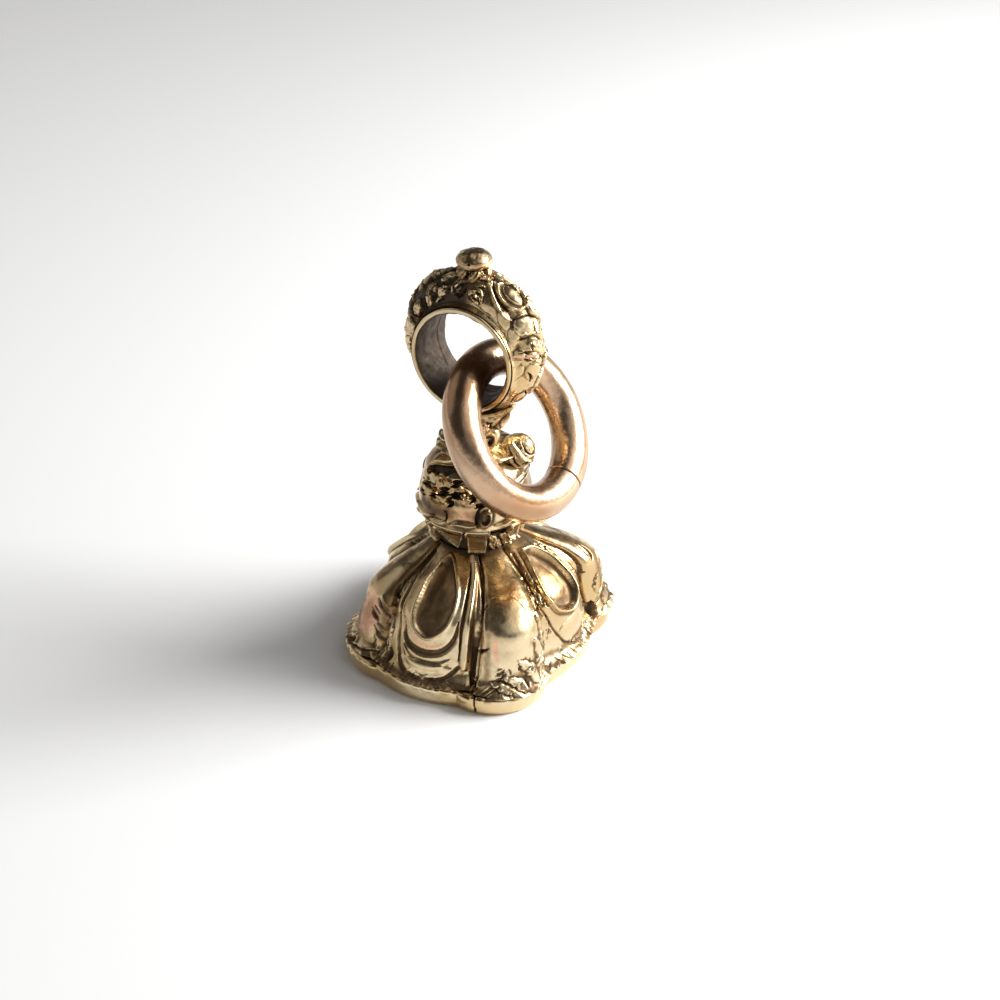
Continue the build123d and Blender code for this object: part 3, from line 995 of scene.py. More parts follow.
def lobed_outline(petal_front: float, valley_front: Mark, corner: Mark, valley_side: Mark,
                  petal_side: float) -> list[Mark]:
    """The outline of the foot: valleys and crests by turns, from the valley left of the front petal.

    Args:
        petal_front: How far the front petal reaches.
        valley_front: The valley beside it.
        corner: The corner lobe's crest.
        valley_side: The valley beside the side petal.
        petal_side: How far the side petal reaches.

    Returns:
        The outline's points.
    """
    right = [(0, -petal_front), (valley_front[0], -valley_front[1]), (corner[0], -corner[1]),
             (valley_side[0], -valley_side[1]), (petal_side, 0), valley_side, corner, valley_front]
    outline = right + [(-x, -y) for x, y in right]
    return [outline[-1]] + outline[:-1]


@dataclass
class Casing:
    """The lobed casing in two stamped halves, with its petals, dishes, leaves and seam."""

    bench: Bench
    bottom: float = 1.0
    height: float = 5.45
    wall: float = 0.5
    neck: float = 2.1
    valley_depth: float = 0.42
    shift: float = 0.34
    worn: float = 0.38
    seam: float = 28.0
    gap: float = 0.12
    flare: float = 0.42
    cord_line: tuple = (
        (-7, 6.1), (-15.9, 5.44), (-18.2, 4.78), (-14.6, 4.05), (-8.1, 3.62), (0, 3.45), (5.7, 3.8),
        (9.4, 4.44), (11.2, 5.1), (12, 5.59), (7, 5.98),
    )
    columns: int = 380
    rows: int = 170
    inner_rows: int = 14
    foot: tuple = (6.7, (2.9, 6.0), (4.85, 5.65), (5.5, 2.85), 6.0)
    spread: float = 4.6
    valley_turns: tuple = (25.8, 62.6, 117.4, 154.2)
    height_shares: tuple = (0.0, 0.19, 0.41, 0.605, 0.77, 0.885, 1.0)
    reach_shares: tuple = (0.94, 0.9, 0.835, 0.76, 0.53, 0.26, 0.0)
    valley_shares: tuple = (0.3, 0.7, 1.0, 1.0, 0.9, 0.5, 0.0)
    shift_shares: tuple = (0.2, 0.55, 0.8, 0.95, 1.0, 0.7, 0.0)

    def __post_init__(self) -> None:
        """Works out the rows' spacing along the crest of a petal."""
        self.outline = lobed_outline(*self.foot)
        knots = np.arange(7)
        self.levels = np.linspace(0, 6, 400)
        reach = self.neck + self.spread * smooth_through(knots, self.reach_shares, self.levels)
        rise = smooth_through(knots, self.height_shares, self.levels)
        self.level_heights = self.bottom + self.height * rise
        self.runs = distance_run(reach, self.level_heights)

    def climb(self, height: float) -> float:
        """Place along the rows at a height, in millimetres."""
        return float(np.interp(height, self.level_heights, self.runs))

    def marks(self, *pairs: Mark) -> list[Mark]:
        """Marks from pairs of an angle and a height."""
        return [(angle, self.climb(height)) for angle, height in pairs]

    def placer(self, turn: float, hand: int = 1) -> Callable[..., list[Mark]]:
        """A function that makes marks from pairs measured from a lobe's middle.

        Args:
            turn: The lobe's middle, in degrees.
            hand: 1 for angles to the right, -1 for angles to the left.

        Returns:
            The function.
        """
        def at(*pairs: Mark) -> list[Mark]:
            """Marks from such pairs."""
            return self.marks(*[(turn + hand * angle, height) for angle, height in pairs])

        return at

    def surface(self, angles: Grid, places: Grid, inset: float = 0.0) -> Grid:
        """The plain surface.

        Args:
            angles: Columns, in radians.
            places: Rows, in millimetres along.
            inset: How far inside the outer face.

        Returns:
            Points, columns by rows.
        """
        knots = np.arange(7)
        levels = np.interp(places, self.runs, self.levels)
        shares = [smooth_through(knots, table, levels) for table in
                  (self.height_shares, self.reach_shares, self.valley_shares, self.shift_shares)]
        heights = self.bottom + (self.height - inset) * shares[0]
        reach = np.zeros((len(angles), len(places)))
        for row in range(len(places)):
            outline = []
            for index, (x, y) in enumerate(self.outline):
                away = math.hypot(x, y)
                foot = away - (self.worn if index == len(self.outline) - 1 else 0.0)
                wanted = self.neck + (foot - self.neck) * shares[1][row] - inset
                if index % 2 == 0:
                    wanted -= self.valley_depth * shares[2][row]
                outline.append((x * wanted / away, y * wanted / away))
            reach[:, row] = arc_reach(angles, outline)
        points = turned(angles, reach, heights)
        points[..., 0] += self.shift * shares[3]
        return points

    def half(self, side: int) -> Skin:
        """The plain skin of one half.

        Args:
            side: 1 for the right half, -1 for the left.

        Returns:
            The skin, its columns from seam to seam.
        """
        start = math.radians(self.seam + (0 if side > 0 else 180) + self.gap)
        angles = start + np.linspace(0, math.pi - 2 * math.radians(self.gap), self.columns)
        places = np.linspace(0, self.runs[-1], self.rows)
        points = self.surface(angles, places)
        girth = np.hypot(points[..., 0], points[..., 1]).mean(axis=0)
        return Skin(angles, points, places[None, :], girth[None, :], closed=False)

    def valleys(self, skin: Skin) -> None:
        """Cuts the deep lines between the lobes.

        Args:
            skin: The half that is carved.
        """
        for angle in self.valley_turns:
            for turn in (angle, -angle):
                lean = 3.0 if turn > 0 else -3.0
                line = self.marks((turn, 1.2), (turn, 3.0), (turn + lean, 5.0), (turn + 2 * lean, 6.4))
                skin.ridge(line, 0.3, -0.1, taper=Taper.EVEN)
                # The narrow cut is dark: dirt and painted shade in the groove.
                skin.ridge(line, 0.11, -0.15, 0.62, Taper.EVEN)

    def framed_petal(self, skin: Skin, turn: float) -> None:
        """The petal with a hollow teardrop, a crescent step and a smooth foot.

        Args:
            skin: The half that is carved.
            turn: Where the petal's pattern is turned to, in degrees.
        """
        at = self.placer(turn)
        petal = at((-29, 6.13), (-28, 5.53), (-22.1, 4.68), (-18, 3.38), (-14.1, 2.2), (-9, 1.5), (-2, 1.25),
                   (6, 1.25), (13, 1.45), (18.5, 2.0))
        skin.ridge(petal, 0.17, -0.12, 0.55, Taper.EVEN)
        # The crescent under the dish is dark: a painted shadow.
        crescent = at((-15, 3.9), (-10.8, 2.95), (-3.6, 2.6), (4, 2.6), (10.5, 2.85), (15.4, 3.5),
                      (16.6, 4.4))
        skin.ridge(crescent, 0.28, -0.16, 0.72)
        skin.ridge(at((-11.5, 2.6), (-6, 2.05), (1, 1.9), (8, 1.98), (14, 2.4)), 0.42, 0.07)
        # The dish is dark inside: dirt and painted shade.
        drop = at((-13, 6.0), (-14.5, 5.47), (-12.2, 4.91), (-10.2, 4.3), (-6.8, 3.66), (0.6, 3.3),
                  (6.8, 3.6), (11.4, 4.2), (13.2, 4.96), (11.4, 5.49), (3.6, 6.03), (-5, 6.26))
        skin.bowl(drop, 0.42, 0.75, (0.13, 0.07), 0.62)
        # The dish's lower lip is kept bright: a painted highlight.
        edge = skin.near(at((-11.2, 4.3), (-7.6, 3.55), (0, 3.15), (7, 3.42), (12, 4.1)), 0.2)
        skin.polish_and_highlight(edge, 0.9 * mound(edge.distance / 0.13))
        # A reddish band in the crescent: a painted reflection.
        pink = skin.near(at((-9, 3.3), (-3.5, 3.0), (3, 2.95), (9, 3.15)), 0.3)
        skin.paint_red_reflection(pink, 0.7 * mound(pink.distance / 0.22))
        skin.boss(at((2, 1.75))[0], (1.7, 0.42), 0.1)
        skin.ridge(at((25.6, 6.3), (23.2, 5.6), (22.0, 4.8), (21.4, 3.6), (21.2, 2.0)), 0.26, 0.2,
                   taper=Taper.EVEN)
        skin.ridge(at((20.6, 6.1), (19.2, 5.25), (18.5, 4.2), (18.4, 2.4)), 0.13, -0.13, 0.8)
        # A brown strip beside the rib: painted shade.
        strip = skin.near(at((26.5, 5.9), (25.0, 5.0), (24.3, 3.6), (24.6, 2.0)), 0.3)
        skin.soil_and_shade(strip, 0.5 * mound(strip.distance / 0.28))
        skin.ridge(at((-23, 5.9), (-20, 5.0), (-16.5, 4.0), (-13.5, 3.0)), 0.16, -0.05, 0.25)

    def rimmed_petal(self, skin: Skin, turn: float) -> None:
        """The petal with a teardrop inside a bright raised cord.

        Args:
            skin: The half that is carved.
            turn: Where the petal's pattern is turned to, in degrees.
        """
        at = self.placer(turn)
        petal = at((-17, 6.15), (-23.5, 5.5), (-27.5, 4.9), (-20, 3.5), (-16, 2.7), (-9, 1.75), (0, 1.4),
                   (7, 1.45), (14, 2.2), (19, 3.6), (22, 5.1), (19, 5.9))
        skin.ridge(petal, 0.13, -0.1, 0.6, Taper.EVEN)
        drop = at(*self.cord_line)
        # The dish is dark inside: dirt and painted shade.
        skin.bowl(drop, 0.36, 0.55, (0.21, 0.24), 0.5)
        skin.boss(at((-1, 2.4))[0], (1.5, 0.7), 0.1)
        skin.chase((turn - 26, turn - 18), (self.climb(2.2), self.climb(5.9)), 30, 0.34, 0.05, 30, 11, 60)
        skin.chase((turn + 17, turn + 25), (self.climb(2.2), self.climb(5.9)), 22, 0.34, 0.05, -30, 12, 60)
        skin.chase((turn - 18, turn + 18), (self.climb(1.2), self.climb(1.7)), 20, 0.36, 0.05, 60, 13, 40)

    def smooth_lobe(self, skin: Skin, turn: float, hand: int) -> None:
        """A corner lobe left smooth above, with chased leaves over its foot.

        Args:
            skin: The half that is carved.
            turn: The lobe's middle, in degrees.
            hand: 1 where the leaves lie on its right, -1 on its left.
        """
        at = self.placer(turn, hand)
        for index, (start, end, width) in enumerate((
            ((12, 1.3), (3, 2.8), 0.34), ((14, 1.6), (12, 3.6), 0.3), ((6, 1.15), (-3, 2.0), 0.3),
            ((19, 1.7), (17, 3.2), 0.28), ((0, 1.2), (-8, 1.7), 0.26), ((18, 3.0), (15.5, 4.6), 0.22),
        )):
            skin.leaf(at(*bent(start, end, 2.0, 0.0)), width, 0.16, 3, index)
        first, last = sorted((turn - 5 * hand, turn + 20 * hand))
        skin.chase((first, last), (self.climb(1.1), self.climb(2.6)), 40, 0.4, 0.05, 25 * hand,
                   21 + int(turn), 50)
        skin.boss(at((-1, 4.2))[0], (1.15, 1.9), 0.1)
        # A reddish stripe: a painted reflection.
        red = skin.boss(at((-6.5, 3.4))[0], (0.3, 1.6), 0.0, -4)
        skin.paint_red_reflection(red, 0.75 * mound(red.distance / 1.1))

    def cut_lobe(self, skin: Skin, turn: float, hand: int) -> None:
        """A corner lobe with slanting cuts, a dark cleft and a small eyelet at its foot.

        Args:
            skin: The half that is carved.
            turn: The lobe's middle, in degrees.
            hand: 1 where the cuts lie on its right, -1 on its left.
        """
        at = self.placer(turn, hand)
        for start, end in (((4, 4.1), (12.5, 3.2)), ((6, 2.6), (18.5, 1.6)), ((2, 3.4), (8, 2.9)),
                           ((9, 4.9), (14, 4.2))):
            skin.ridge(at(*bent(start, end, -1.0, 0.0)), 0.13, -0.16, 0.9)
            skin.ridge(at((start[0] + 1, start[1] + 0.22), (end[0], end[1] + 0.22)), 0.13, 0.08)
        skin.ridge(at((19.5, 2.0), (20.5, 1.5), (21.5, 1.1)), 0.32, -0.3, 1.0)
        skin.ridge(at((-2, 1.1), (6, 1.2), (12, 1.35), (19, 1.15)), 0.1, -0.14, 1.0)
        # The eyelet's middle is dark: dirt and painted shade.
        eye = skin.boss(at((-1.5, 1.3))[0], (0.24, 0.24), 0.0)
        skin.lift(eye, 0.12 * mound((eye.distance - 1) / 0.5) - 0.14 * mound(eye.distance / 0.6))
        skin.soil_and_shade(eye, 0.95 * mound(eye.distance / 0.7))
        # A reddish patch with a little dark: painted reflection and painted shade.
        red = skin.boss(at((0, 3.0))[0], (1.1, 1.9), 0.0)
        skin.paint_red_reflection(red, 1.0 * mound(red.distance / 1.3))
        broken = 1 + 0.5 * cloud(skin.points[red.window], 1.1, 18, 2)
        skin.soil_and_shade(red, 0.3 * mound(red.distance / 1.4) * broken)
        # Brown patches on the lobe: painted shade.
        brown = skin.near(at((-9, 5.6), (-8.5, 4.0), (-8, 2.2)), 0.9)
        broken = 1 + 0.4 * cloud(skin.points[brown.window], 1.0, 19, 2)
        skin.soil_and_shade(brown, 0.66 * mound(brown.distance / 0.85) * broken)
        brown = skin.near(at((7, 5.6), (9, 4.4), (11, 3.0), (13, 2.0)), 0.7)
        skin.soil_and_shade(brown, 0.6 * mound(brown.distance / 0.6))
        for index, (start, end) in enumerate((((13, 1.3), (8, 2.4)), ((16, 2.3), (12.5, 3.4)))):
            skin.leaf(at(start, (start[0] - 1.5, 0.5 * (start[1] + end[1])), end), 0.26, 0.1, 3, index)

    def seam_line(self, skin: Skin) -> None:
        """The seam's groove with its thorn-like nicks.

        Args:
            skin: The half that is carved.
        """
        for side in (0, 180):
            at = self.placer(self.seam + side)
            skin.ridge(at((0, 1.0), (0, 3.5), (0.3, 5.4), (0, 6.4)), 0.09, -0.14, 0.85, Taper.EVEN)
            for height in (4.75, 3.0):
                nick = at((0, height), (2.0, height + 0.14), (4.6, height + 0.36))
                skin.ridge(nick, 0.13, -0.16, 1.0, Taper.TIP)
            skin.ridge(at((1.9, 1.9), (2.4, 3.4), (2.8, 4.9), (2.6, 5.9)), 0.14, 0.06)
            skin.ridge(at((-2.6, 1.0), (-1.0, 1.35), (1.2, 1.2)), 0.16, -0.2, 1.0)

    def ledge(self, skin: Skin) -> None:
        """The ragged edge of small leaves over the rim.

        Args:
            skin: The half that is carved.
        """
        dice = np.random.default_rng(5)
        for angle in np.arange(0, 360, 7.5):
            place = angle + dice.uniform(-2.5, 2.5)
            lean = dice.uniform(-5, 5)
            rise = dice.uniform(0.2, 0.55)
            skin.ridge(self.marks((place, 1.02), (place + lean, 1.1 + rise)), 0.2, 0.1, taper=Taper.TIP)
            skin.ridge(self.marks((place + 3.5, 1.0), (place + 3.5 + lean, 1.1 + rise)), 0.08, -0.09, 0.6,
                       Taper.TIP)
        skin.relief += self.flare * np.clip(1 - skin.along / 0.75, 0, 1) ** 1.5
        # A broken dark band just above the rim: dirt and painted shade where the casing meets the band.
        broken = ease(0.5 + 1.4 * cloud(skin.points, 0.9, 7, 2))
        skin.darken(0.8 * broken * mound((skin.along - 0.16) / 0.3))

    def shade(self, skin: Skin) -> None:
        """Painted shade: brown patches beside the valleys and on the lobes, darker towards the neck, and a
        painted shadow under the collar.

        Args:
            skin: The half that is carved.
        """
        broken = 0.75 + 0.5 * cloud(skin.points, 1.7, 15, 3)
        # Brown patches beside the valleys and on the lobes: painted shade.
        for turn in (0, 180):
            for line, reach, level in (
                (((-33, 5.8), (-31, 4.6), (-30, 3.2), (-29.5, 1.6)), 0.55, 0.5),
                (((-20, 6.0), (-19, 5.2), (-17, 4.2)), 0.5, 0.5),
                (((33, 5.9), (32.5, 5.0), (32, 3.4), (32, 1.6)), 0.35, 0.45),
                (((52, 6.0), (53, 5.2), (54.5, 4.0)), 0.4, 0.4),
                (((67, 6.1), (65, 5.2), (64.5, 4.0), (65, 2.4)), 0.3, 0.42),
                (((108, 6.1), (110, 5.0), (112, 3.0)), 0.4, 0.4),
            ):
                near = skin.near(self.placer(turn)(*line), 1.1 * reach)
                skin.soil_and_shade(near, level * broken[near.window] * mound(near.distance / reach))
        # Darker towards the neck: painted shade.
        upper = ease((skin.along - self.climb(5.2)) / (self.climb(6.4) - self.climb(5.2)))
        skin.darken(0.5 * upper * broken)
        # The raised cords of the side petals are kept bright: a painted highlight.
        for turn in (90, 270):
            cord = skin.near(self.placer(turn)(*self.cord_line), 0.22, True)
            skin.polish_and_highlight(cord, 0.95 * mound(cord.distance / 0.24))
        # A painted shadow under the collar.
        skin.darken(0.85 * ease((skin.along - self.climb(6.2)) / 0.45))

    def build(self) -> None:
        """Carves and places both halves."""
        for side, name in ((-1, "casing_left"), (1, "casing_right")):
            skin = self.half(side)
            self.valleys(skin)
            for turn in (0.0, 180.0):
                self.framed_petal(skin, turn)
            for turn in (90.0, 270.0):
                self.rimmed_petal(skin, turn)
            self.smooth_lobe(skin, 42.0, 1)
            self.smooth_lobe(skin, 222.0, 1)
            self.cut_lobe(skin, 139.0, -1)
            self.cut_lobe(skin, 321.0, 1)
            self.seam_line(skin)
            self.ledge(skin)
            skin.mottle(1.6, 0.035, 3)
            skin.mottle(0.5, 0.012, 4)
            skin.soak_and_shade(strength=0.8)
            self.shade(skin)
            places = np.linspace(0, self.runs[-1], self.inner_rows)
            inner = self.surface(skin.angles, places, self.wall)
            self.bench.place(f"{name}_carved", [name], Slot.CASING, skin, inner)


@dataclass
class RimBand:
    """The plain scalloped band round the foot, rolled, dented and slit at the seam."""

    bench: Bench
    height: float = 1.0
    width: float = 1.15
    worn: float = 0.38
    seam: float = 28.0
    columns: int = 900
    rows: int = 84
    foot: tuple = (6.85, (2.35, 6.38), (4.93, 5.72), (5.58, 2.62), 6.1)
    corners: tuple = (
        (1.15, 0.0), (0.7, 0.0), (0.34, 0.0), (0.13, 0.07), (0.02, 0.26), (0.0, 0.5), (0.01, 0.74),
        (0.08, 0.92), (0.25, 1.0), (0.7, 1.0), (1.15, 1.0),
    )

    def surface(self, angles: Grid, path: Grid) -> Grid:
        """The plain surface along a path of (inset, height).

        Args:
            angles: Columns, in radians.
            path: The path's points.

        Returns:
            Points, columns by rows.
        """
        outline = lobed_outline(*self.foot)
        reach = np.zeros((len(angles), len(path)))
        for row, (inset, _) in enumerate(path):
            moved = []
            for index, (x, y) in enumerate(outline):
                away = math.hypot(x, y)
                wanted = away - inset - (self.worn if index == len(outline) - 1 else 0.0)
                moved.append((x * wanted / away, y * wanted / away))
            reach[:, row] = arc_reach(angles, moved)
        return turned(angles, reach, path[:, 1])

    def build(self) -> None:
        """Carves and places the band."""
        line = smooth_line(self.corners, 30)
        run = distance_run(line[:, 0], line[:, 1])
        places = np.linspace(0, run[-1], self.rows)
        path = np.stack([np.interp(places, run, line[:, 0]), np.interp(places, run, line[:, 1])], 1)
        angles = even_angles(self.columns)
        points = self.surface(angles, path)
        girth = np.hypot(points[..., 0], points[..., 1]).mean(axis=0)
        skin = Skin(angles, points, places[None, :], girth[None, :])
        side = mound((path[:, 1] - 0.5) / 0.62)[None, :] * (path[:, 0] < 0.5)[None, :]
        skin.mottle(1.5, 0.06, 31, side, 2)
        skin.mottle(0.35, 0.012, 32, side, 2)
        top = ease((path[:, 1] - 0.8) / 0.15)[None, :] * np.ones((self.columns, 1))
        outside = self.rows * 3 // 5
        self.leaves(skin, float(np.interp(0.93, path[:outside, 1], places[:outside])))
        slit = [(self.seam + 0.6, 0.9), (self.seam + 0.2, 1.3), (self.seam - 0.2, 1.7),
                (self.seam + 0.4, 2.2)]
        skin.ridge(slit, 0.06, -0.2, 1.0, Taper.EVEN)
        skin.soak_and_shade(0.14, 0.4, 0.6)
        # Painted shade where the band's top runs in under the casing.
        hidden = ease((path[:, 0] - 0.3) / 0.12)[None, :] * top
        skin.darken(0.8 * hidden)
        walls = np.stack([np.full(6, self.width), np.linspace(0, self.height, 6)], 1)
        inner = self.surface(angles, walls)
        self.bench.place("rim_band_rolled", ["rim_band"], Slot.PLAIN, skin, inner)

    def leaves(self, skin: Skin, place: float) -> None:
        """Small lumps where the leaves above run onto the band.

        Args:
            skin: The band.
            place: Place along of the band's upper edge.
        """
        dice = np.random.default_rng(9)
        for angle in np.arange(0, 360, 6.0):
            at = angle + dice.uniform(-2.5, 2.5)
            size = dice.uniform(0.12, 0.26)
            skin.boss((at, place + dice.uniform(-0.05, 0.2)), (size * 1.5, size), dice.uniform(0.02, 0.06))


def profile_skin(marks: Sequence[Mark], columns: int, rows: int) -> tuple[Skin, Climb]:
    """A skin of revolution round the upright axis.

    Args:
        marks: The outside as (radius, height), from the bottom.
        columns: Steps round it.
        rows: Places along it.

    Returns:
        The skin, and a function from a height to a place along it.
    """
    line = smooth_line(marks, 24)
    run = distance_run(line[:, 0], line[:, 1])
    places = np.linspace(0, run[-1], rows)
    reach = np.interp(places, run, line[:, 0])
    heights = np.interp(places, run, line[:, 1])
    angles = even_angles(columns)
    skin = Skin(angles, turned(angles, reach[None, :], heights), places[None, :],
                np.maximum(reach, 1e-4)[None, :])

    def climb(height: float) -> float:
        """Place along at a height."""
        return float(np.interp(height, line[:, 1], run))

    return skin, climb


def lifted(line: Iterable[Mark], turn: float, climb: Climb = float, shift: float = 0.0) -> list[Mark]:
    """Marks from pairs of an angle and a height, turned and raised."""
    return [(turn + angle, climb(height + shift)) for angle, height in line]


def bored(skin: Skin, radius: float, rows: int = 3) -> Grid:
    """The plain bore inside a sleeve of revolution."""
    heights = np.linspace(skin.points[0, 0, 2], skin.points[0, -1, 2], rows)
    return turned(skin.angles, np.full((1, rows), radius), heights)


@dataclass
class Bulb:
    """The stem: a collar of hanging leaves, a carved cup and a smooth dome."""

    bench: Bench
    bore: float = 0.69
    collar_top: float = 7.6
    collar_profile: tuple = ((1.98, 6.45), (2.06, 6.7), (2.2, 7.1), (2.42, 7.6))
    cup_profile: tuple = (
        (2.42, 7.6), (2.64, 7.7), (2.88, 7.95), (2.96, 8.2), (2.95, 8.7), (2.86, 9.3), (2.7, 9.9),
    )
    dome_profile: tuple = ((2.7, 9.9), (2.6, 10.3), (2.36, 10.75), (1.92, 11.12), (1.25, 11.45))
    recess: tuple = (
        (-46, 10.64), (-36, 10.9), (-27, 11.0), (-14, 11.1), (-1, 11.16), (5, 11.0), (-2, 10.84), (-9, 10.66),
        (-16, 10.74), (-23, 10.52), (-30, 10.56), (-36, 10.34), (-44, 10.4),
    )
    recess_middle: tuple = ((-42, 10.55), (-32, 10.72), (-20, 10.84), (-8, 10.92), (2, 11.02))
    strip: tuple = ((-47, 10.74), (-36, 11.0), (-24, 11.12), (-10, 11.24), (4, 11.2))
    bright_strip: tuple = ((-45, 10.78), (-36, 11.0), (-24, 11.12), (-10, 11.24), (2, 11.2))
    lip: tuple = ((14, 10.62), (30, 10.4), (52, 10.24), (80, 10.2), (104, 10.3), (122, 10.2))
    plates: tuple = (
        ((-21, 15.5), (6.5, 8.5), 6.86), ((17.5, 43), (18, 42), 6.62), ((92, 124), (106, 109), 6.8),
        ((126, 157), (128, 154), 6.66), ((66, 90), (68, 88), 6.95),
    )
    lumps: tuple = (
        (-34, 9.72, 0.4, 0.24, 70, 0.14), (-14, 10.28, 0.4, 0.2, 75, 0.16), (12, 10.2, 0.46, 0.24, 60, 0.16),
        (-6, 9.6, 0.26, 0.2, 30, 0.12), (20, 9.7, 0.36, 0.24, 30, 0.12), (44, 9.6, 0.42, 0.34, -40, 0.1),
        (72, 9.5, 0.5, 0.4, -50, 0.1), (96, 9.6, 0.5, 0.36, 40, 0.1),
    )
    veins: tuple = (
        (((-46, 9.7), (-36, 9.96), (-26, 10.06), (-18, 10.2)), 0.12),
        (((-24, 10.5), (-14, 10.62), (-4, 10.5)), 0.1), (((3, 10.5), (14, 10.42), (28, 10.0)), 0.13),
        (((-22, 9.4), (-12, 9.3), (-3, 9.42)), 0.1), (((60, 9.6), (72, 9.5), (84, 9.9)), 0.1),
    )
    pits: tuple = (
        (-19, 9.63, 0.34, 0.17, 60), (-7, 9.98, 0.36, 0.16, 50), (7.5, 10.5, 0.4, 0.15, 60),
        (1.5, 9.55, 0.3, 0.15, 20), (10, 9.98, 0.34, 0.14, 55), (-44, 9.3, 0.3, 0.14, 70),
        (-30, 10.0, 0.3, 0.13, 80), (-36, 9.4, 0.26, 0.1, 40), (26, 9.9, 0.3, 0.12, 30),
        (34, 9.5, 0.3, 0.12, 70), (56, 9.3, 0.3, 0.12, -30), (78, 9.3, 0.3, 0.12, 20),
        (98, 9.2, 0.3, 0.12, -20),
    )
    edge_rolls: tuple = (
        (((-47, 8.66), (-40, 8.46), (-30, 8.4), (-20, 8.54), (-14, 8.66)), 0.24, 0.17),
        (((-20, 8.36), (-10, 8.3), (-4, 8.38), (0, 8.62)), 0.22, 0.17),
        (((2, 8.4), (12, 8.5), (22, 8.46), (33, 8.56)), 0.26, 0.18),
        (((46, 8.44), (58, 8.36), (68, 8.52), (80, 8.4)), 0.24, 0.16),
        (((84, 8.6), (94, 8.38), (106, 8.44)), 0.24, 0.16),
        (((108, 8.34), (118, 8.5), (132, 8.44)), 0.24, 0.16),
    )
    bumps: tuple = (
        (49, 7.25, 0.3), (56, 6.9, 0.26), (63, 7.3, 0.28), (50, 6.7, 0.24), (70, 6.8, 0.3), (80, 6.7, 0.26),
        (60, 6.6, 0.22), (88, 6.75, 0.24),
    )

    def collar(self) -> None:
        """The collar of eight leaves, some pointed and some square."""
        skin, climb = profile_skin(self.collar_profile, 480, 80)
        raised = self.hanging(skin)
        for half_turn in (0, 180):
            for angle, height, size in self.bumps:
                line = ((-3, height + 0.3), (2, height), (3, height - 0.3))
                skin.leaf(lifted(line, half_turn + angle, climb), 0.9 * size, 0.22, 3, int(angle))
        flare = 0.2 + 0.18 * np.clip((self.collar_top - skin.points[..., 2]) / 1.1, 0, 1)
        skin.relief += raised * flare
        skin.mottle(0.3, 0.025, 41, raised)
        # Dark gaps between the plates: dirt and painted shade; the plate middles are darker than their raised
        # edges.
        gaps = 1 - ease(np.maximum(raised * 1.4, skin.relief / 0.12))
        skin.darken(np.maximum(gaps, 0.62 * ease((1.0 - raised) / 0.2) * ease(raised / 0.5)))
        skin.soak_and_shade(0.12, 0.35, 0.8)
        self.bench.place("leaf_collar_carved", ["leaf_collar"], Slot.CARVED, skin, bored(skin, self.bore))

    def hanging(self, skin: Skin) -> Grid:
        """How far the hanging plates stand out, with a raised edge, from 0 to about 1.

        Args:
            skin: The collar, or the underside of the cup.

        Returns:
            One level for each place of the skin.
        """
        heights = skin.points[..., 2]
        turn = np.degrees(skin.angles)
        raised = np.zeros(heights.shape)
        for half_turn in (0, 180):
            for top, foot, low in self.plates:
                middle = 0.5 * (top[0] + top[1])
                away = (turn - half_turn - middle + 180) % 360 - 180
                drop = np.clip((self.collar_top - heights) / (self.collar_top - low), -0.3, 1)
                left = top[0] - middle + drop * (foot[0] - top[0])
                right = top[1] - middle + drop * (foot[1] - top[1])
                side = np.radians(np.minimum(away[:, None] - left, right - away[:, None])) * skin.girth
                inward = np.minimum(side, heights - low)
                level = ease(inward / 0.05) * (0.72 + 0.5 * mound((inward - 0.07) / 0.08))
                raised = np.maximum(raised, level)
        return raised

    def cup(self) -> None:
        """The carved cup, with its rolled lip, pits, lumps and a curled boss."""
        skin, climb = profile_skin(self.cup_profile, 640, 150)
        self.carve(skin, climb)
        under = ease((8.14 - skin.points[..., 2]) / 0.1)
        raised = self.hanging(skin)
        skin.relief += (0.26 * raised - 0.12) * under
        # Dark between the plates under the cup's lower edge: dirt and painted shade.
        skin.darken(0.9 * under * (1 - ease(raised * 1.4)))
        for turn in (0, 180):
            for line, width, rise in self.edge_rolls:
                skin.ridge(lifted(line, turn, climb), width, rise)
            comma = lifted(((-4.5, 9.06), (-1.4, 8.96), (-0.6, 8.5)), turn, climb)
            skin.ridge(comma, 0.1, -0.2, 1.0)
            eye = skin.boss((turn + 38.4, climb(8.86)), (0.33, 0.5), 0.34, 24, 1.5)
            skin.lift(eye, -0.3 * ease((0.68 - eye.distance) / 0.3))
            skin.soil_and_shade(eye, 0.6 * ease((0.72 - eye.distance) / 0.2))
            beside_eye = lifted(((31, 8.3), (29.5, 8.8), (33, 9.35), (40, 9.5)), turn, climb)
            skin.ridge(beside_eye, 0.11, -0.16, 1.0)
        skin.soak_and_shade(0.16, 0.5, 0.85)
        # A dark reddish zone at mid height, facing front and back: painted reflection.
        heights = skin.points[..., 2]
        beside = np.abs((np.degrees(skin.angles) + 90) % 180 - 90)[:, None]
        level = mound(np.clip(np.abs(heights - 9.0) / 0.6, 0, 1)) ** 0.5
        ruddy = level * ease((36 - np.abs(beside - 12)) / 12)
        skin.darken(ruddy * (0.62 + 0.5 * cloud(skin.points, 0.8, 56, 3)))
        skin.red_reflection_and_solder = np.maximum(skin.red_reflection_and_solder, 0.8 * ruddy * ease(0.4 + 1.5 * cloud(skin.points, 0.9, 57, 2)))
        self.bench.place("bulb_cup_carved", ["bulb_cup"], Slot.CARVED, skin, bored(skin, self.bore))

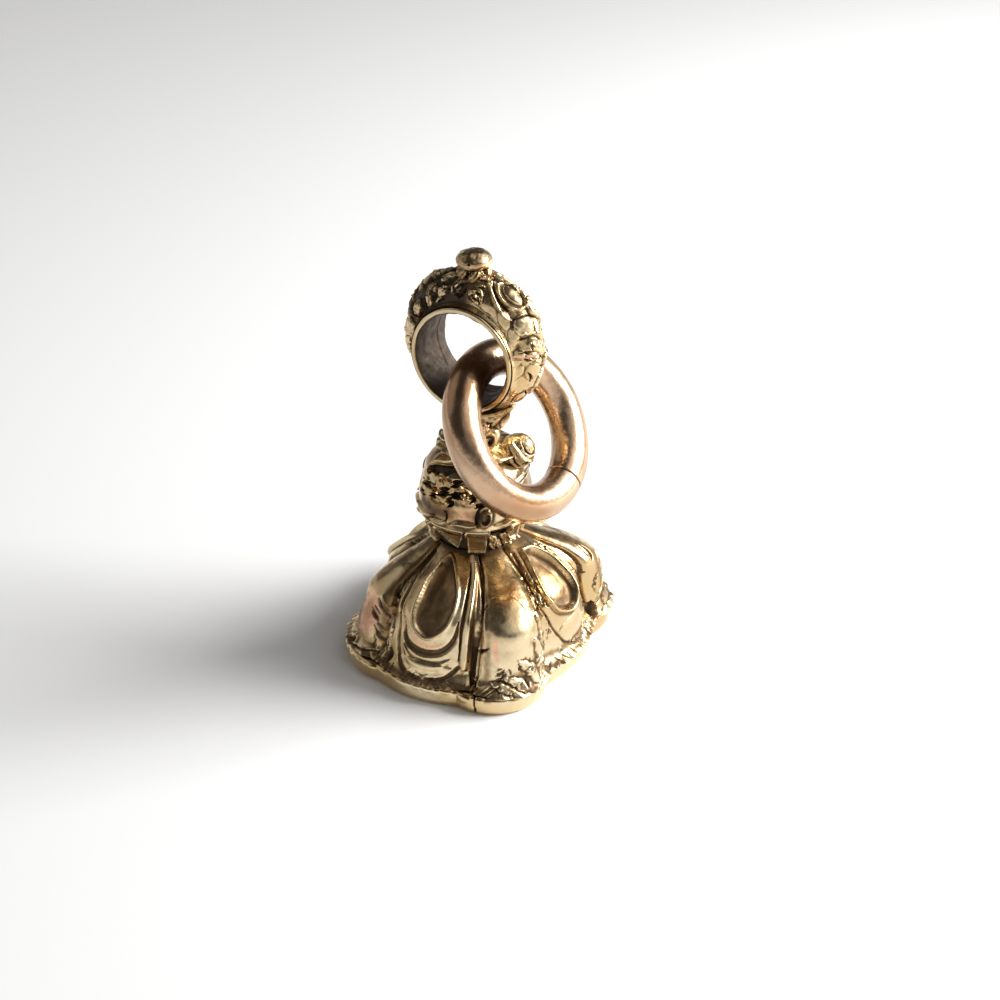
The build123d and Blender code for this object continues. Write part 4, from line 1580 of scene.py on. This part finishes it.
    def carve(self, skin: Skin, climb: Climb) -> None:
        """The broken leaf carving that runs over cup and dome.

        Args:
            skin: What is carved.
            climb: Place along from height.
        """
        heights = skin.points[..., 2]
        beside = np.abs((np.degrees(skin.angles) + 90) % 180 - 90)[:, None]
        top = 10.75 - 0.6 * ease((beside - 42) / 16)
        zone = ease((heights - 9.1) / 0.4) * ease((top - heights) / 0.2)
        skin.mottle(0.9, 0.08, 51, zone, 2)
        skin.mottle(1.3, 0.05, 54, 1 - zone, 2)
        skin.mottle(0.35, 0.02, 52, zone, 2)
        for turn in (180, 0):
            for angle, height, wide, tall, lean, rise in self.lumps:
                skin.boss((angle + turn, climb(height)), (wide, tall), rise, lean, 1.2)
            for line, width in self.veins:
                skin.ridge(lifted(line, turn, climb), width, 0.14)
            for angle, height, long, wide, lean in self.pits:
                run = 22 * long * math.sin(math.radians(lean))
                rise = long * math.cos(math.radians(lean))
                jag = [(angle - run, height - rise), (angle - 0.2 * run + 3, height - 0.1 * rise),
                       (angle - 0.2 * run - 2, height + 0.2 * rise), (angle + run, height + rise)]
                skin.ridge(lifted(jag, turn, climb), 1.2 * wide, -0.26, 1.0)
        calm = ease((beside - 44) / 10) * ease((heights - 8.8) / 0.5)
        skin.relief *= 1 - 0.85 * calm
        skin.dirt_and_shade *= 1 - 0.7 * calm
        # A dark reddish zone facing front and back: painted reflection.
        ruddy = mound((heights - 9.0) / 0.65) * ease((30 - np.abs(beside - 16)) / 14)
        skin.red_reflection_and_solder = np.maximum(skin.red_reflection_and_solder, 0.55 * ruddy)
        skin.darken(0.6 * ruddy * (0.8 + 0.6 * cloud(skin.points, 0.7, 55, 2)))
        skin.darken(0.38 * zone * (0.8 + 0.5 * cloud(skin.points, 1.0, 53, 2)))

    def dome(self) -> None:
        """The dome, smooth above the carving."""
        skin, climb = profile_skin(self.dome_profile, 560, 110)
        self.carve(skin, climb)
        for turn in (0, 180):
            # The recess and its middle are dark: dirt and painted shade.
            skin.bowl(lifted(self.recess, turn, climb), 0.34, 0.16, (0.07, 0.02), 1.0)
            dark = skin.near(lifted(self.recess_middle, turn, climb), 0.3)
            skin.soil_and_shade(dark, mound(dark.distance / 0.26) ** 0.5)
            skin.ridge(lifted(self.strip, turn, climb), 0.08, 0.12)
            skin.ridge(lifted(self.lip, turn, climb), 0.14, 0.06)
            skin.ridge(lifted(self.lip, turn, climb, -0.16), 0.1, -0.1, 0.8)
        skin.mottle(1.2, 0.03, 61)
        skin.soak_and_shade(0.14, 0.4, 0.85)
        # Painted shade above the carving, darkest on the left front, the side turned from the light.
        smooth = 0.55 * (0.8 + 0.5 * cloud(skin.points, 1.4, 62, 2))
        smooth = smooth * (0.5 - 0.5 * np.cos(skin.angles[:, None] - 2.2))
        skin.darken(smooth * ease((skin.along - climb(10.4)) / 0.2))
        # Painted shade where the loop's foot stands on the dome.
        skin.darken(0.8 * ease((skin.along - climb(11.3)) / 0.2))
        # The raised strip is kept bright: a painted highlight.
        for turn in (0, 180):
            bright = skin.near(lifted(self.bright_strip, turn, climb), 0.12)
            skin.polish_and_highlight(bright, mound(bright.distance / 0.1))
        self.bench.place("bulb_dome_polished", ["bulb_dome"], Slot.PLAIN, skin, bored(skin, self.bore))

    def build(self) -> None:
        """Makes the three pieces of the stem."""
        self.collar()
        self.cup()
        self.dome()


@dataclass
class Loop:
    """The loop: its plain liner, the carved crescent over it, the foot, shoulder leaves and finial."""

    bench: Bench
    bore_height: float = 16.73
    bore: float = 2.44
    outer: float = 2.8
    width: float = 2.96
    axis_height: float = 17.27
    crest: float = 3.67
    roll: float = 1.115
    skirt: float = 1.36
    skirt_share: float = 0.82
    fillet: float = 0.15
    split: float = 17.35
    split_reach: float = 3.1
    gap: float = 0.012
    dome_top: float = 11.45
    ball_height: float = 21.51
    ball_radius: float = 0.87
    ball_half: float = 0.53
    ball_bottom: float = 21.17
    neck_profile: tuple = ((0.62, 20.72), (0.66, 20.85), (0.6, 21.0), (0.54, 21.1), (0.6, 21.2))
    neck_bore: float = 0.2
    liner_corner: float = 0.42
    slit: float = 0.004
    foot_profile: tuple = (
        (0.0, 0.02, 0.02), (0.03, 1.42, 1.12), (0.2, 1.22, 0.98), (0.42, 1.3, 0.9), (0.62, 1.62, 0.88),
        (0.78, 1.95, 0.84), (0.9, 2.05, 0.76), (1.0, 0.02, 0.02),
    )
    foot_leaves: tuple = (
        (((66, 12.9), (76, 13.2), (84, 13.5)), 0.26, 0.2, 2, 1),
        (((42, 12.8), (30, 13.1), (18, 13.4)), 0.3, 0.2, 3, 2),
        (((8, 12.0), (-2, 12.5), (-10, 13.1)), 0.34, 0.2, 3, 3),
        (((-34, 12.0), (-44, 12.6), (-56, 13.1)), 0.3, 0.18, 3, 4),
    )
    eyelet_place: tuple = ((1.12, -0.62, 12.32), (0.5, -0.8, 0.25), (0.45, 0.0, 0.9))
    eyelet_radius: float = 0.34
    eyelet_wire: float = 0.2
    knob_turn: float = 12.0
    knob_lean: float = 24.0
    knob_cuts: tuple = (
        (((-70, 0.35), (-30, 0.05), (0, -0.3), (40, -0.42), (80, -0.2)), 0.09, -0.18, 1.0),
        (((-60, 0.6), (-20, 0.35), (20, 0.05), (60, 0.0)), 0.2, 0.1, 0.0),
        (((-40, 1.0), (-5, 0.7), (25, 0.4), (60, 0.3)), 0.08, -0.12, 0.8),
        (((60, 0.9), (72, 0.4), (66, -0.2)), 0.08, -0.12, 0.8),
    )

    def round_points(self, angles: Grid, reach: Grid, across: Grid, height: float) -> Grid:
        """Points round the loop's own axis, with angles from the top towards the right."""
        wide = np.broadcast_to(reach, (len(angles), reach.shape[-1]))
        return np.stack([wide * np.sin(angles)[:, None], np.broadcast_to(across, wide.shape),
                         height + wide * np.cos(angles)[:, None]], axis=2)

    def liner(self) -> None:
        """The liner, smooth at its front edge and hammered inside."""
        rows = 150
        turn = np.linspace(0, TURN, 4001)
        thick = 0.5 * (self.outer - self.bore)
        radial = -np.sign(np.cos(turn)) * np.abs(np.cos(turn)) ** self.liner_corner * thick
        sideways = -np.sign(np.sin(turn)) * np.abs(np.sin(turn)) ** self.liner_corner * 0.5 * self.width
        run = distance_run(radial, sideways)
        places = np.arange(rows) * run[-1] / rows
        radial = np.interp(places, run, radial)
        sideways = np.interp(places, run, sideways)
        angles = even_angles(520)
        reach = self.bore + thick + radial
        points = self.round_points(angles, reach[None, :], sideways[None, :], self.bore_height)
        skin = Skin(angles, points, places[None, :], reach[None, :], looped=True)
        inside = ease((-radial / thick - 0.2) * 2)[None, :] * np.ones((len(angles), 1))
        skin.mottle(0.8, 0.05, 71, inside, 3)
        skin.mottle(0.3, 0.02, 72, inside, 2)
        back = run[-1] - 0.62
        line = [(angle, back + 0.05 * math.sin(math.radians(3 * angle))) for angle in range(0, 361, 10)]
        skin.ridge(line, 0.1, -0.05, 0.5, Taper.EVEN)
        # The inside of the bore is dark, darkest towards the bottom: painted shade.
        skin.darken(0.97 * inside)
        low = 0.5 - 0.5 * np.cos(angles)[:, None]
        skin.darken(inside * 0.95 * ease(low * 1.4 - 0.2 + 0.3 * cloud(points, 1.0, 77, 2)))
        skin.soak_and_shade(0.14, 0.4)
        self.bench.place("loop_liner_worn", ["loop_liner"], Slot.PLAIN, skin)

    def band_surface(self, angles: Grid, shares: Grid) -> tuple[Grid, Grid, Grid]:
        """The plain crescent.

        Args:
            angles: Columns, in radians.
            shares: Rows, from -1 in front to 1 behind.

        Returns:
            Points, places along and distances from the axis.
        """
        offset = self.axis_height - self.bore_height
        wall = self.outer + self.gap
        inner = -offset * np.cos(angles) + np.sqrt(wall**2 - (offset * np.sin(angles)) ** 2)
        base = self.crest - self.roll
        limit = np.arccos(np.clip((inner + self.fillet - base) / self.roll, -0.08, 1))
        body = np.clip(np.abs(shares) / self.skirt_share, 0, 1)
        skirt = np.clip((np.abs(shares) - self.skirt_share) / (1 - self.skirt_share), 0, 1)
        swing = limit[:, None] * body[None, :]
        end_across = self.roll * np.sin(limit)[:, None]
        end_reach = (base + self.roll * np.cos(limit))[:, None]
        corner_across = end_across + 0.25 * (self.skirt - end_across)
        corner_reach = inner[:, None] + 0.25 * (end_reach - inner[:, None])
        first, second, third = (1 - skirt) ** 2, 2 * skirt * (1 - skirt), skirt**2
        across = first * end_across + second * corner_across + third * self.skirt
        reach = first * end_reach + second * corner_reach + third * (inner[:, None] + 0.006)
        on_body = skirt[None, :] <= 0
        across = np.where(on_body, self.roll * np.sin(swing), across)
        reach = np.where(on_body, base + self.roll * np.cos(swing), reach)
        along = self.roll * swing + np.hypot(across - end_across, reach - end_reach) * (skirt[None, :] > 0)
        side = np.sign(shares)[None, :]
        points = self.round_points(angles, reach, across * side, self.axis_height)
        return points, along * side, reach

    def band_inner(self, angles: Grid, rows: int) -> Grid:
        """The face of the band against the liner."""
        ends = self.band_surface(angles, np.array([-1.0, 1.0]))[0]
        share = np.linspace(0, 1, rows)[None, :, None]
        return ends[:, :1] * (1 - share) + ends[:, 1:] * share

    def place_at(self, angle: float, across: float) -> Mark:
        """A mark from an angle and a distance in front of (below zero) or behind the middle."""
        return angle, self.roll * math.asin(max(-0.995, min(0.995, across / self.roll)))

    def placer(self, face: int) -> Callable[..., list[Mark]]:
        """A function that makes marks from pairs of an angle and a distance from the middle.

        Args:
            face: 1 for the front, -1 for the same pattern turned to the back.

        Returns:
            The function.
        """
        def spots(*pairs: Mark) -> list[Mark]:
            """Marks from such pairs."""
            return [self.place_at(angle * face, across * face) for angle, across in pairs]

        return spots

    def carve_band(self, skin: Skin) -> None:
        """The crescent's leaves, bosses, cords and cuts, on both faces.

        Args:
            skin: The part that is carved.
        """
        for face in (-1, 1):
            spots = self.placer(face)
            oval = spots((23, -0.3), (27, 0.1), (36, 0.3), (45, 0.15), (49, -0.2), (47, -0.55), (40, -0.72),
                         (30, -0.66))
            skin.ridge(oval, 0.12, 0.12, taper=Taper.EVEN, closed=True)
            skin.boss(spots((37, -0.2))[0], (0.62, 0.36), 0.2, 0, 1.3)
            skin.ridge(spots((14, -0.35), (20, -0.6), (28, -0.85), (38, -0.97), (47, -0.98), (54, -0.86)),
                       0.15, 0.15)
            skin.ridge(spots((18, -0.2), (24, -0.62), (34, -0.84), (46, -0.82)), 0.08, -0.12, 0.9)
            skin.boss(spots((61, -0.62))[0], (0.6, 0.5), 0.2, 0, 1.4)
            skin.ridge(spots((52, -0.9), (55, -0.3), (58, 0.1)), 0.08, -0.12, 0.85)
            for angle, across, long, wide, rise in (
                (80, -0.4, 0.8, 0.5, 0.11), (99, -0.5, 0.6, 0.42, 0.1), (68, 0.3, 0.7, 0.5, 0.08),
                (90, 0.3, 0.8, 0.5, 0.08), (50, 0.5, 0.7, 0.5, 0.08),
            ):
                skin.boss(spots((angle, across))[0], (long, wide), rise, 20 * face, 1.1)
            for start, end in (((70, -1.0), (77, 0.0)), ((82, -1.02), (91, -0.05)), ((96, -0.3), (106, 0.3))):
                skin.ridge(spots(*bent(start, end, -3.0, 0.05)), 0.13, -0.09, 0.4)
            skin.ridge(spots((100, -0.78), (104, -0.62), (111, -0.5)), 0.09, -0.2, 1.0)
            volute = spots((121, -0.5), (126, -0.2), (134, -0.15), (139, -0.42), (136, -0.68), (127, -0.74))
            skin.ridge(volute, 0.08, -0.13, 0.95, Taper.EVEN, True)
            skin.boss(spots((130, -0.44))[0], (0.4, 0.22), 0.1, 0, 1.2)
            for index, (start, end, width) in enumerate((
                ((-8, -0.5), (-26, -0.9), 0.24), ((-14, -0.1), (-34, -0.5), 0.26),
                ((-30, -0.2), (-50, -0.7), 0.26), ((-44, -0.1), (-64, -0.55), 0.26),
                ((-28, -0.8), (-42, -1.08), 0.18), ((2, -0.7), (-12, -1.05), 0.2),
                ((8, -0.95), (22, -1.1), 0.16), ((-56, -0.6), (-70, -0.95), 0.18),
                ((-2, 0.1), (-18, 0.3), 0.2),
            )):
                skin.leaf(spots(*bent(start, end, 0.0, 0.12)), width, 0.16, 3, index + 3)
            for angle in range(-78, -18, 9):
                skin.ridge(spots((angle, -0.7), (angle - 2.5, -0.25)), 0.07, -0.12, 0.9)
            for index, (start, end) in enumerate((((-86, -0.5), (-100, -0.1)), ((-104, -0.5), (-120, 0.0)),
                                                  ((-92, -0.95), (-108, -0.8)))):
                skin.leaf(spots(*bent(start, end, 0.0, 0.1)), 0.24, 0.12, 3, index)
            skin.scroll(spots((-128, -0.5))[0], 0.4, 0.16, 1.3, 90, -face, 0.14)
            for index, (angle, lean, start, end) in enumerate((
                (-72, -14, -1.15, -1.7), (-60, 7, -1.2, -1.62), (-50, -17, -1.1, -1.66),
                (-37, -6, -1.3, -1.74), (-31, 12, -1.12, -1.5), (-17, -16, -1.15, -1.72),
                (-4, -8, -1.1, -1.5), (6, 12, -1.2, -1.66),
            )):
                line = ((angle, start), (angle + 0.6 * lean, 0.5 * (start + end)), (angle + lean, end))
                hung = [(face * over, face * along) for over, along in line]
                skin.leaf(hung, 0.28, 0.18, 2 + index % 2, index + 20)
            for angle, lean in ((-68, 6), (-42, -9), (-24, -12), (-10, 5), (2, -8)):
                skin.ridge([(face * angle, -1.05 * face), (face * (angle + 0.4 * lean), -1.4 * face),
                            (face * (angle + lean), -1.7 * face)], 0.13, -0.16, 1.0)
            for angle in (48, 66, 86, 102):
                skin.boss((face * angle, -1.36 * face), (0.5, 0.3), 0.09, 25 * face, 1.1)
        skin.mottle(0.6, 0.045, 81)
        skin.chase((-75, 20), (-1.5, 1.5), 46, 0.44, 0.08, 60, 83, 60)
        skin.chase((60, 112), (-1.2, 1.2), 14, 0.34, 0.05, 30, 84, 60)
        # The band's upper left is dark, its raised parts spared: painted shade on the side away from the
        # light.
        turn = (skin.angles + math.pi) % TURN - math.pi
        dark = ease((math.radians(18) - turn) / 0.35) * ease((turn + math.radians(80)) / 0.25)
        grime_and_shade = 0.95 * dark[:, None] * (1 - 0.92 * ease((skin.relief - 0.08) / 0.1))
        skin.darken(grime_and_shade)
        solder = np.abs(skin.points[..., 2] - self.split - 0.12)
        line = mound(solder / 0.13)
        skin.red_reflection_and_solder = np.maximum(skin.red_reflection_and_solder, line)
        skin.relief = skin.relief * (1 - 0.7 * line) + 0.03 * line
        skin.dirt_and_shade = skin.dirt_and_shade * (1 - 0.8 * line)

    def bands(self) -> None:
        """Both parts of the crescent, parted at the solder line."""
        lean = math.acos((self.split - self.axis_height) / self.split_reach)
        for name, start, sweep, columns, rows in (
            ("loop_band_upper", -lean + self.slit, 2 * (lean - self.slit), 420, 150),
            ("loop_band_lower", lean + self.slit, TURN - 2 * (lean + self.slit), 440, 130),
        ):
            angles = start + np.linspace(0, sweep, columns)
            shares = np.linspace(-1, 1, rows)
            points, along, reach = self.band_surface(angles, shares)
            skin = Skin(angles, points, along, reach, closed=False)
            self.carve_band(skin)
            skin.soak_and_shade(0.13, 0.4)
            edge = ease((np.abs(shares) - 0.86) / 0.1)[None, :]
            skin.relief = skin.relief * (1 - edge)
            skin.dirt_and_shade = skin.dirt_and_shade * (1 - 0.7 * edge) + 0.16 * edge
            self.bench.place(f"{name}_carved", [name], Slot.CARVED, skin, self.band_inner(angles, 5))

    def foot(self) -> None:
        """The flared foot: a stalk of small leaves with an eyelet, under the loop."""
        rows = 150
        angles = even_angles(360)
        places = np.linspace(0, 1, rows)
        stops, wide, deep = zip(*self.foot_profile)
        half_x = smooth_through(stops, wide, places)
        half_y = smooth_through(stops, deep, places)
        x = np.sin(angles)[:, None] * half_x
        x = np.where(x < 0, x * 0.86, x)
        y = -np.cos(angles)[:, None] * half_y
        rise = np.clip((places - 0.03) / 0.87, 0, 1)[None, :]
        under = self.axis_height - np.sqrt((self.crest + 0.02) ** 2 - x**2)
        base = self.dome_top - 0.12 * np.abs(np.sin(angles))[:, None] * np.ones((1, rows))
        z = base + (under - base) * rise
        points = np.stack([x, y, z], 2)
        steps = np.linalg.norm(np.diff(points, axis=1), axis=2).mean(axis=0)
        along = np.concatenate([[0], np.cumsum(steps)])
        girth = np.maximum(np.hypot(x, y).mean(axis=0), 0.05)
        skin = Skin(angles, points, along[None, :], girth[None, :])
        mean = z.mean(axis=0)
        middle = slice(rows // 20, -rows // 10)

        def climb(height: float) -> float:
            """Place along at a height."""
            return float(np.interp(height, mean[middle], along[middle]))

        for turn in (180, 0):
            for line, width, height, teeth, seed in self.foot_leaves:
                skin.leaf(lifted(line, turn, climb), width, height, teeth, seed)
            skin.ridge(lifted(((14, 11.9), (20, 12.4), (26, 12.8)), turn, climb), 0.1, -0.16, 0.9)
        skin.mottle(0.5, 0.05, 91)
        skin.chase((0, 360), (along[rows // 8], along[-rows // 6]), 60, 0.36, 0.06, 20, 92, 50)
        skin.soak_and_shade(0.14, 0.4)
        # Both ends are smooth and dark: painted shade where the foot meets the dome and the loop.
        ends = ease((places - 0.88) / 0.05) + ease((0.05 - places) / 0.03)
        skin.relief = skin.relief * (1 - np.clip(ends, 0, 1))[None, :]
        skin.darken(0.8 * np.clip(ends, 0, 1)[None, :])
        self.bench.place("loop_foot_carved", ["loop_foot"], Slot.CARVED, skin)
        for side, name in ((1, "front"), (-1, "back")):
            self.eyelet(f"foot_eyelet_{name}", side)

    def eyelet(self, name: str, side: int) -> None:
        """A small pierced curl on the stalk.

        Args:
            name: The piece's name.
            side: 1 in front on the right, -1 behind on the left.
        """
        centre, outward, upward = np.array(self.eyelet_place) * (side, side, 1)
        outward /= np.linalg.norm(outward)
        upward -= outward * float(upward @ outward)
        upward /= np.linalg.norm(upward)
        sideways = np.cross(outward, upward)
        angles = even_angles(120)
        swing = even_angles(48)
        wire = self.eyelet_wire * (1 + 0.25 * np.cos(angles))[:, None]
        reach = self.eyelet_radius + wire * np.cos(swing)
        rise = 1.4 * wire * np.sin(swing)
        turns = angles[:, None, None]
        around = np.cos(turns) * upward * 1.25 + np.sin(turns) * sideways * 0.9
        points = centre + around * reach[..., None] + outward * rise[..., None]
        girth = np.full((1, len(swing)), self.eyelet_radius)
        skin = Skin(angles, points, (self.eyelet_wire * swing)[None, :], girth, looped=True)
        skin.mottle(0.3, 0.02, 97)
        # The inner side of the curl is dark: painted shade.
        inside = ease((-np.cos(swing) - 0.1) * 2)[None, :]
        skin.darken(0.8 * inside)
        self.bench.place(name, ["loop_foot"], Slot.CARVED, skin)

    def knob(self, node: str, side: int, reach: float, rise: float, half: tuple) -> None:
        """A curled leaf on a shoulder of the bulb.

        Args:
            node: The node it stands for.
            side: 1 on the right, -1 on the left.
            reach: Distance from the axis.
            rise: Height above the dome.
            half: Half sizes.
        """
        angles = even_angles(260)
        up, reach_row = ball_rows(130)
        ball = turned(angles, reach_row[None, :], np.sin(up))
        points = ball * np.array(half)
        size = float(np.mean(half))
        skin = Skin(angles, points, (size * up)[None, :], (size * reach_row)[None, :])
        front = 20 if side > 0 else -20
        for line, width, height, dirt_and_shade in self.knob_cuts:
            skin.ridge(lifted(line, front), width, height, dirt_and_shade)
        skin.boss((front + 30, -0.12), (0.22, 0.16), -0.16, 30, 1.3, 1.0)
        skin.ridge(lifted(((-50, -0.2), (-10, -0.55), (40, -0.75)), front), 0.07, -0.1, 0.9)
        skin.ridge(lifted(((180, 0.4), (150, 0.0), (170, -0.5)), front), 0.09, -0.12, 0.9)
        skin.mottle(0.4, 0.05, 95)
        skin.soak_and_shade(0.12, 0.3)
        swung = Matrix.Rotation(math.radians(self.knob_turn), 3, "Z")
        lean = swung @ Matrix.Rotation(side * math.radians(self.knob_lean), 3, "Y")
        home = swung @ Vector((side * reach, 0, self.dome_top + rise))
        skin.points = skin.points @ np.array(lean).T + np.array(home)
        self.bench.place(f"{node}_curled", [node], Slot.CARVED, skin)

    def finial(self) -> None:
        """The squashed ball and the leafy neck under it."""
        angles = even_angles(240)
        up, reach_row = ball_rows(100)
        reach = self.ball_radius * reach_row[None, :]
        heights = np.maximum(self.ball_height + self.ball_half * np.sin(up), self.ball_bottom)
        skin = Skin(angles, turned(angles, reach, heights), (0.7 * up)[None, :], reach)
        skin.boss((12, 0.1), (0.09, 0.08), -0.1, 0, 1.0, 1.0)
        skin.mottle(0.5, 0.035, 96)
        skin.darken(0.4 * ease(0.5 + 1.2 * cloud(skin.points, 0.6, 98, 2)))
        skin.ridge([(-60, -0.2), (-20, -0.28), (20, -0.22)], 0.08, -0.03, 0.4)
        skin.soak_and_shade(0.1, 0.3)
        self.bench.place("finial_ball_worn", ["finial_ball"], Slot.PLAIN, skin)
        skin, climb = profile_skin(self.neck_profile, 220, 60)
        for index, angle in enumerate((30, 100, 165, 235, 300, -20)):
            line = lifted(((-18, 20.75), (0, 20.92), (14, 21.1)), angle, climb)
            skin.leaf(line, 0.26, 0.24, 2, index)
        skin.soak_and_shade(0.08, 0.25)
        skin.darken(0.45)
        inner = bored(skin, self.neck_bore)
        self.bench.place("finial_collar_leafy", ["finial_collar"], Slot.CARVED, skin, inner)

    def build(self) -> None:
        """Makes every piece of the loop."""
        self.liner()
        self.bands()
        self.foot()
        self.knob("shoulder_leaf_right", 1, 2.22, 0.02, (0.85, 0.75, 0.95))
        self.knob("shoulder_leaf_left", -1, 1.3, 0.28, (0.52, 0.6, 0.62))
        self.finial()


@dataclass
class JumpRing:
    """The round-wire ring, scuffed where it rubs, with its butt joint."""

    bench: Bench
    wire: float = 0.952
    radius: float = 3.744
    hang: float = 4.48
    lean: float = math.asin(4.358 / 8.224)
    twist: float = math.radians(5.7)
    joint: float = 18.0
    gap: float = 0.05
    bore_height: float = 16.73
    columns: int = 721
    rows: int = 120

    def build(self) -> None:
        """Makes and places the ring."""
        down = np.array([math.sin(self.lean), 0.0, -math.cos(self.lean)])
        flat = np.array([math.cos(self.lean), 0.0, math.sin(self.lean)])
        normal = flat * math.cos(self.twist) + np.cross(down, flat) * math.sin(self.twist)
        side = np.cross(normal, down)
        centre = np.array([0, 0, self.bore_height]) + down * self.hang
        half_gap = 0.5 * self.gap / self.radius
        start = math.radians(self.joint) + half_gap
        angles = start + np.linspace(0, TURN - 2 * half_gap, self.columns)
        swing = even_angles(self.rows)
        reach = self.radius + self.wire * np.cos(swing)
        rise = self.wire * np.sin(swing)
        around = np.cos(angles)[:, None, None] * down + np.sin(angles)[:, None, None] * side
        points = centre + around * reach[None, :, None] + normal * rise[None, :, None]
        skin = Skin(angles, points, (self.wire * swing)[None, :], reach[None, :], closed=False, looped=True)
        skin.mottle(2.4, 0.02, 101, octaves=2)
        skin.mottle(0.5, 0.006, 102)
        skin.soak_and_shade(0.2, 0.6, 0.4)
        turn = np.degrees(angles) % 360
        near = np.minimum((turn - self.joint) % 360, (self.joint - turn) % 360)[:, None]
        skin.relief -= 0.03 * mound(near / 1.6)
        skin.darken(0.8 * mound(near / 0.9))
        self.bench.place("jump_ring_wire", ["jump_ring"], Slot.ROSE, skin, body="ring")


@dataclass
class Studio:
    """Floor, lights, white surround and camera."""

    azimuth: float = 28.4
    elevation: float = 30.52
    distance: float = 94.4
    aim_height: float = 8.217
    aim_right: float = 1.235
    lens: float = 66.27
    room: float = 0.055
    backdrop: tuple[float, float] = (0.06, 0.28)
    window: float = 1.1
    doorway: float = 0.4
    sensor: float = 36.0
    clip: tuple[float, float] = (0.005, 5.0)
    floor_half: float = 1.5
    floor_colour: Colour = tint(0.94, 0.94, 0.94)
    air_colour: Colour = tint(1.0, 0.99, 0.97)
    lamp_place: tuple[float, float, float] = (130.0, -15.0, 92.0)
    lamp_size: tuple[float, float] = (90.0, 80.0)
    lamp_power: float = 0.43
    lamp_aim: float = 8.0

    def directions(self) -> tuple[Vector, Vector, Vector]:
        """The camera's back, right and up."""
        turn = math.radians(self.azimuth)
        rise = math.radians(self.elevation)
        back = Vector((math.sin(turn) * math.cos(rise), -math.cos(turn) * math.cos(rise), math.sin(rise)))
        right = Vector((math.cos(turn), math.sin(turn), 0))
        return back, right, back.cross(right)

    def camera(self) -> None:
        """Sets the camera at the viewing angle of the photograph."""
        back, right, _ = self.directions()
        data = bpy.data.cameras.new("Camera")
        data.lens = self.lens
        data.sensor_width = self.sensor
        data.clip_start, data.clip_end = self.clip
        made = put_in_scene("Camera", data)
        made.location = (Vector((0, 0, self.aim_height)) + right * self.aim_right + back * self.distance) * MM
        made.rotation_mode = "QUATERNION"
        made.rotation_quaternion = back.to_track_quat("Z", "Y")
        bpy.context.scene.camera = made

    def floor(self) -> None:
        """A pale floor that keeps the object's shadow."""
        mesh = blank_sheet(2, 2, self.floor_half)
        mesh.name = "Floor"
        floor = put_in_scene("Floor", mesh)
        made, graph = new_material("PaleFloor")
        shader = graph.node("ShaderNodeBsdfDiffuse", {}, {"Color": self.floor_colour})
        graph.node("ShaderNodeOutputMaterial", {}, {"Surface": shader})
        mesh.materials.append(made)

    def surround(self) -> None:
        """A white backdrop up to a little above eye level, a dim room over it and a soft bright window."""
        world = bpy.data.worlds.new("Surround")
        bpy.context.scene.world = world
        world.use_nodes = True
        graph = Graph(world.node_tree)
        way = graph.node("ShaderNodeTexCoord", out="Generated")
        height = graph.node("ShaderNodeSeparateXYZ", {}, {0: way}, out="Z")
        back, right, _ = self.directions()
        level = self.room + (1.0 - self.room) * (1.0 - graph.step(height, *self.backdrop))
        for toward, edge, strength in (
            (right * 0.72 + Vector((0, 0, 0.66)) - back * 0.05, (0.70, 0.93), self.window),
            (right * -0.75 + Vector((0, 0, 0.65)) - back * 0.25, (0.86, 0.97), self.doorway),
            (back * 0.9 + right * 0.35 + Vector((0, 0, 0.5)), (0.93, 0.985), self.doorway),
        ):
            facing = graph.node("ShaderNodeVectorMath", {"operation": "DOT_PRODUCT"},
                                {0: way, 1: toward.normalized()}, out="Value")
            level = level + graph.step(facing, *edge) * strength
        shader = graph.node("ShaderNodeBackground", {}, {"Color": self.air_colour, "Strength": level})
        graph.node("ShaderNodeOutputWorld", {}, {"Surface": shader})

    def lamp(self) -> None:
        """Adds a soft rectangular lamp on the right that looks at the object."""
        back, right, _ = self.directions()
        sideways, backwards, up = self.lamp_place
        place = right * sideways + Vector((0, 0, up)) + back * backwards
        data = bpy.data.lights.new("WindowLamp", "AREA")
        data.shape = "RECTANGLE"
        data.size = self.lamp_size[0] * MM
        data.size_y = self.lamp_size[1] * MM
        data.energy = self.lamp_power
        made = put_in_scene("WindowLamp", data)
        made.location = place * MM
        made.rotation_mode = "QUATERNION"
        made.rotation_quaternion = (place - Vector((0, 0, self.lamp_aim))).to_track_quat("Z", "Y")

    def build(self) -> None:
        """Sets the whole studio."""
        bpy.context.scene.view_settings.view_transform = "Standard"
        self.camera()
        self.floor()
        self.surround()
        self.lamp()


def main() -> None:
    """Builds the whole fob seal and its studio."""
    logging.basicConfig(level=logging.INFO, format="%(message)s")
    finishes = Finishes()
    finishes.build()
    bench = Bench(finishes)
    for node, slot in (
        ("base_plate", Slot.PLAIN), ("stone_bezel", Slot.PLAIN), ("seal_stone", Slot.STONE),
        ("stone_cement", Slot.CEMENT), ("core_filler", Slot.FILLER), ("stem_post", Slot.POST),
    ):
        bench.dress_node(node, slot)
    Casing(bench).build()
    RimBand(bench).build()
    Bulb(bench).build()
    Loop(bench).build()
    JumpRing(bench).build()
    Studio().build()


if __name__ == "__main__":
    main()
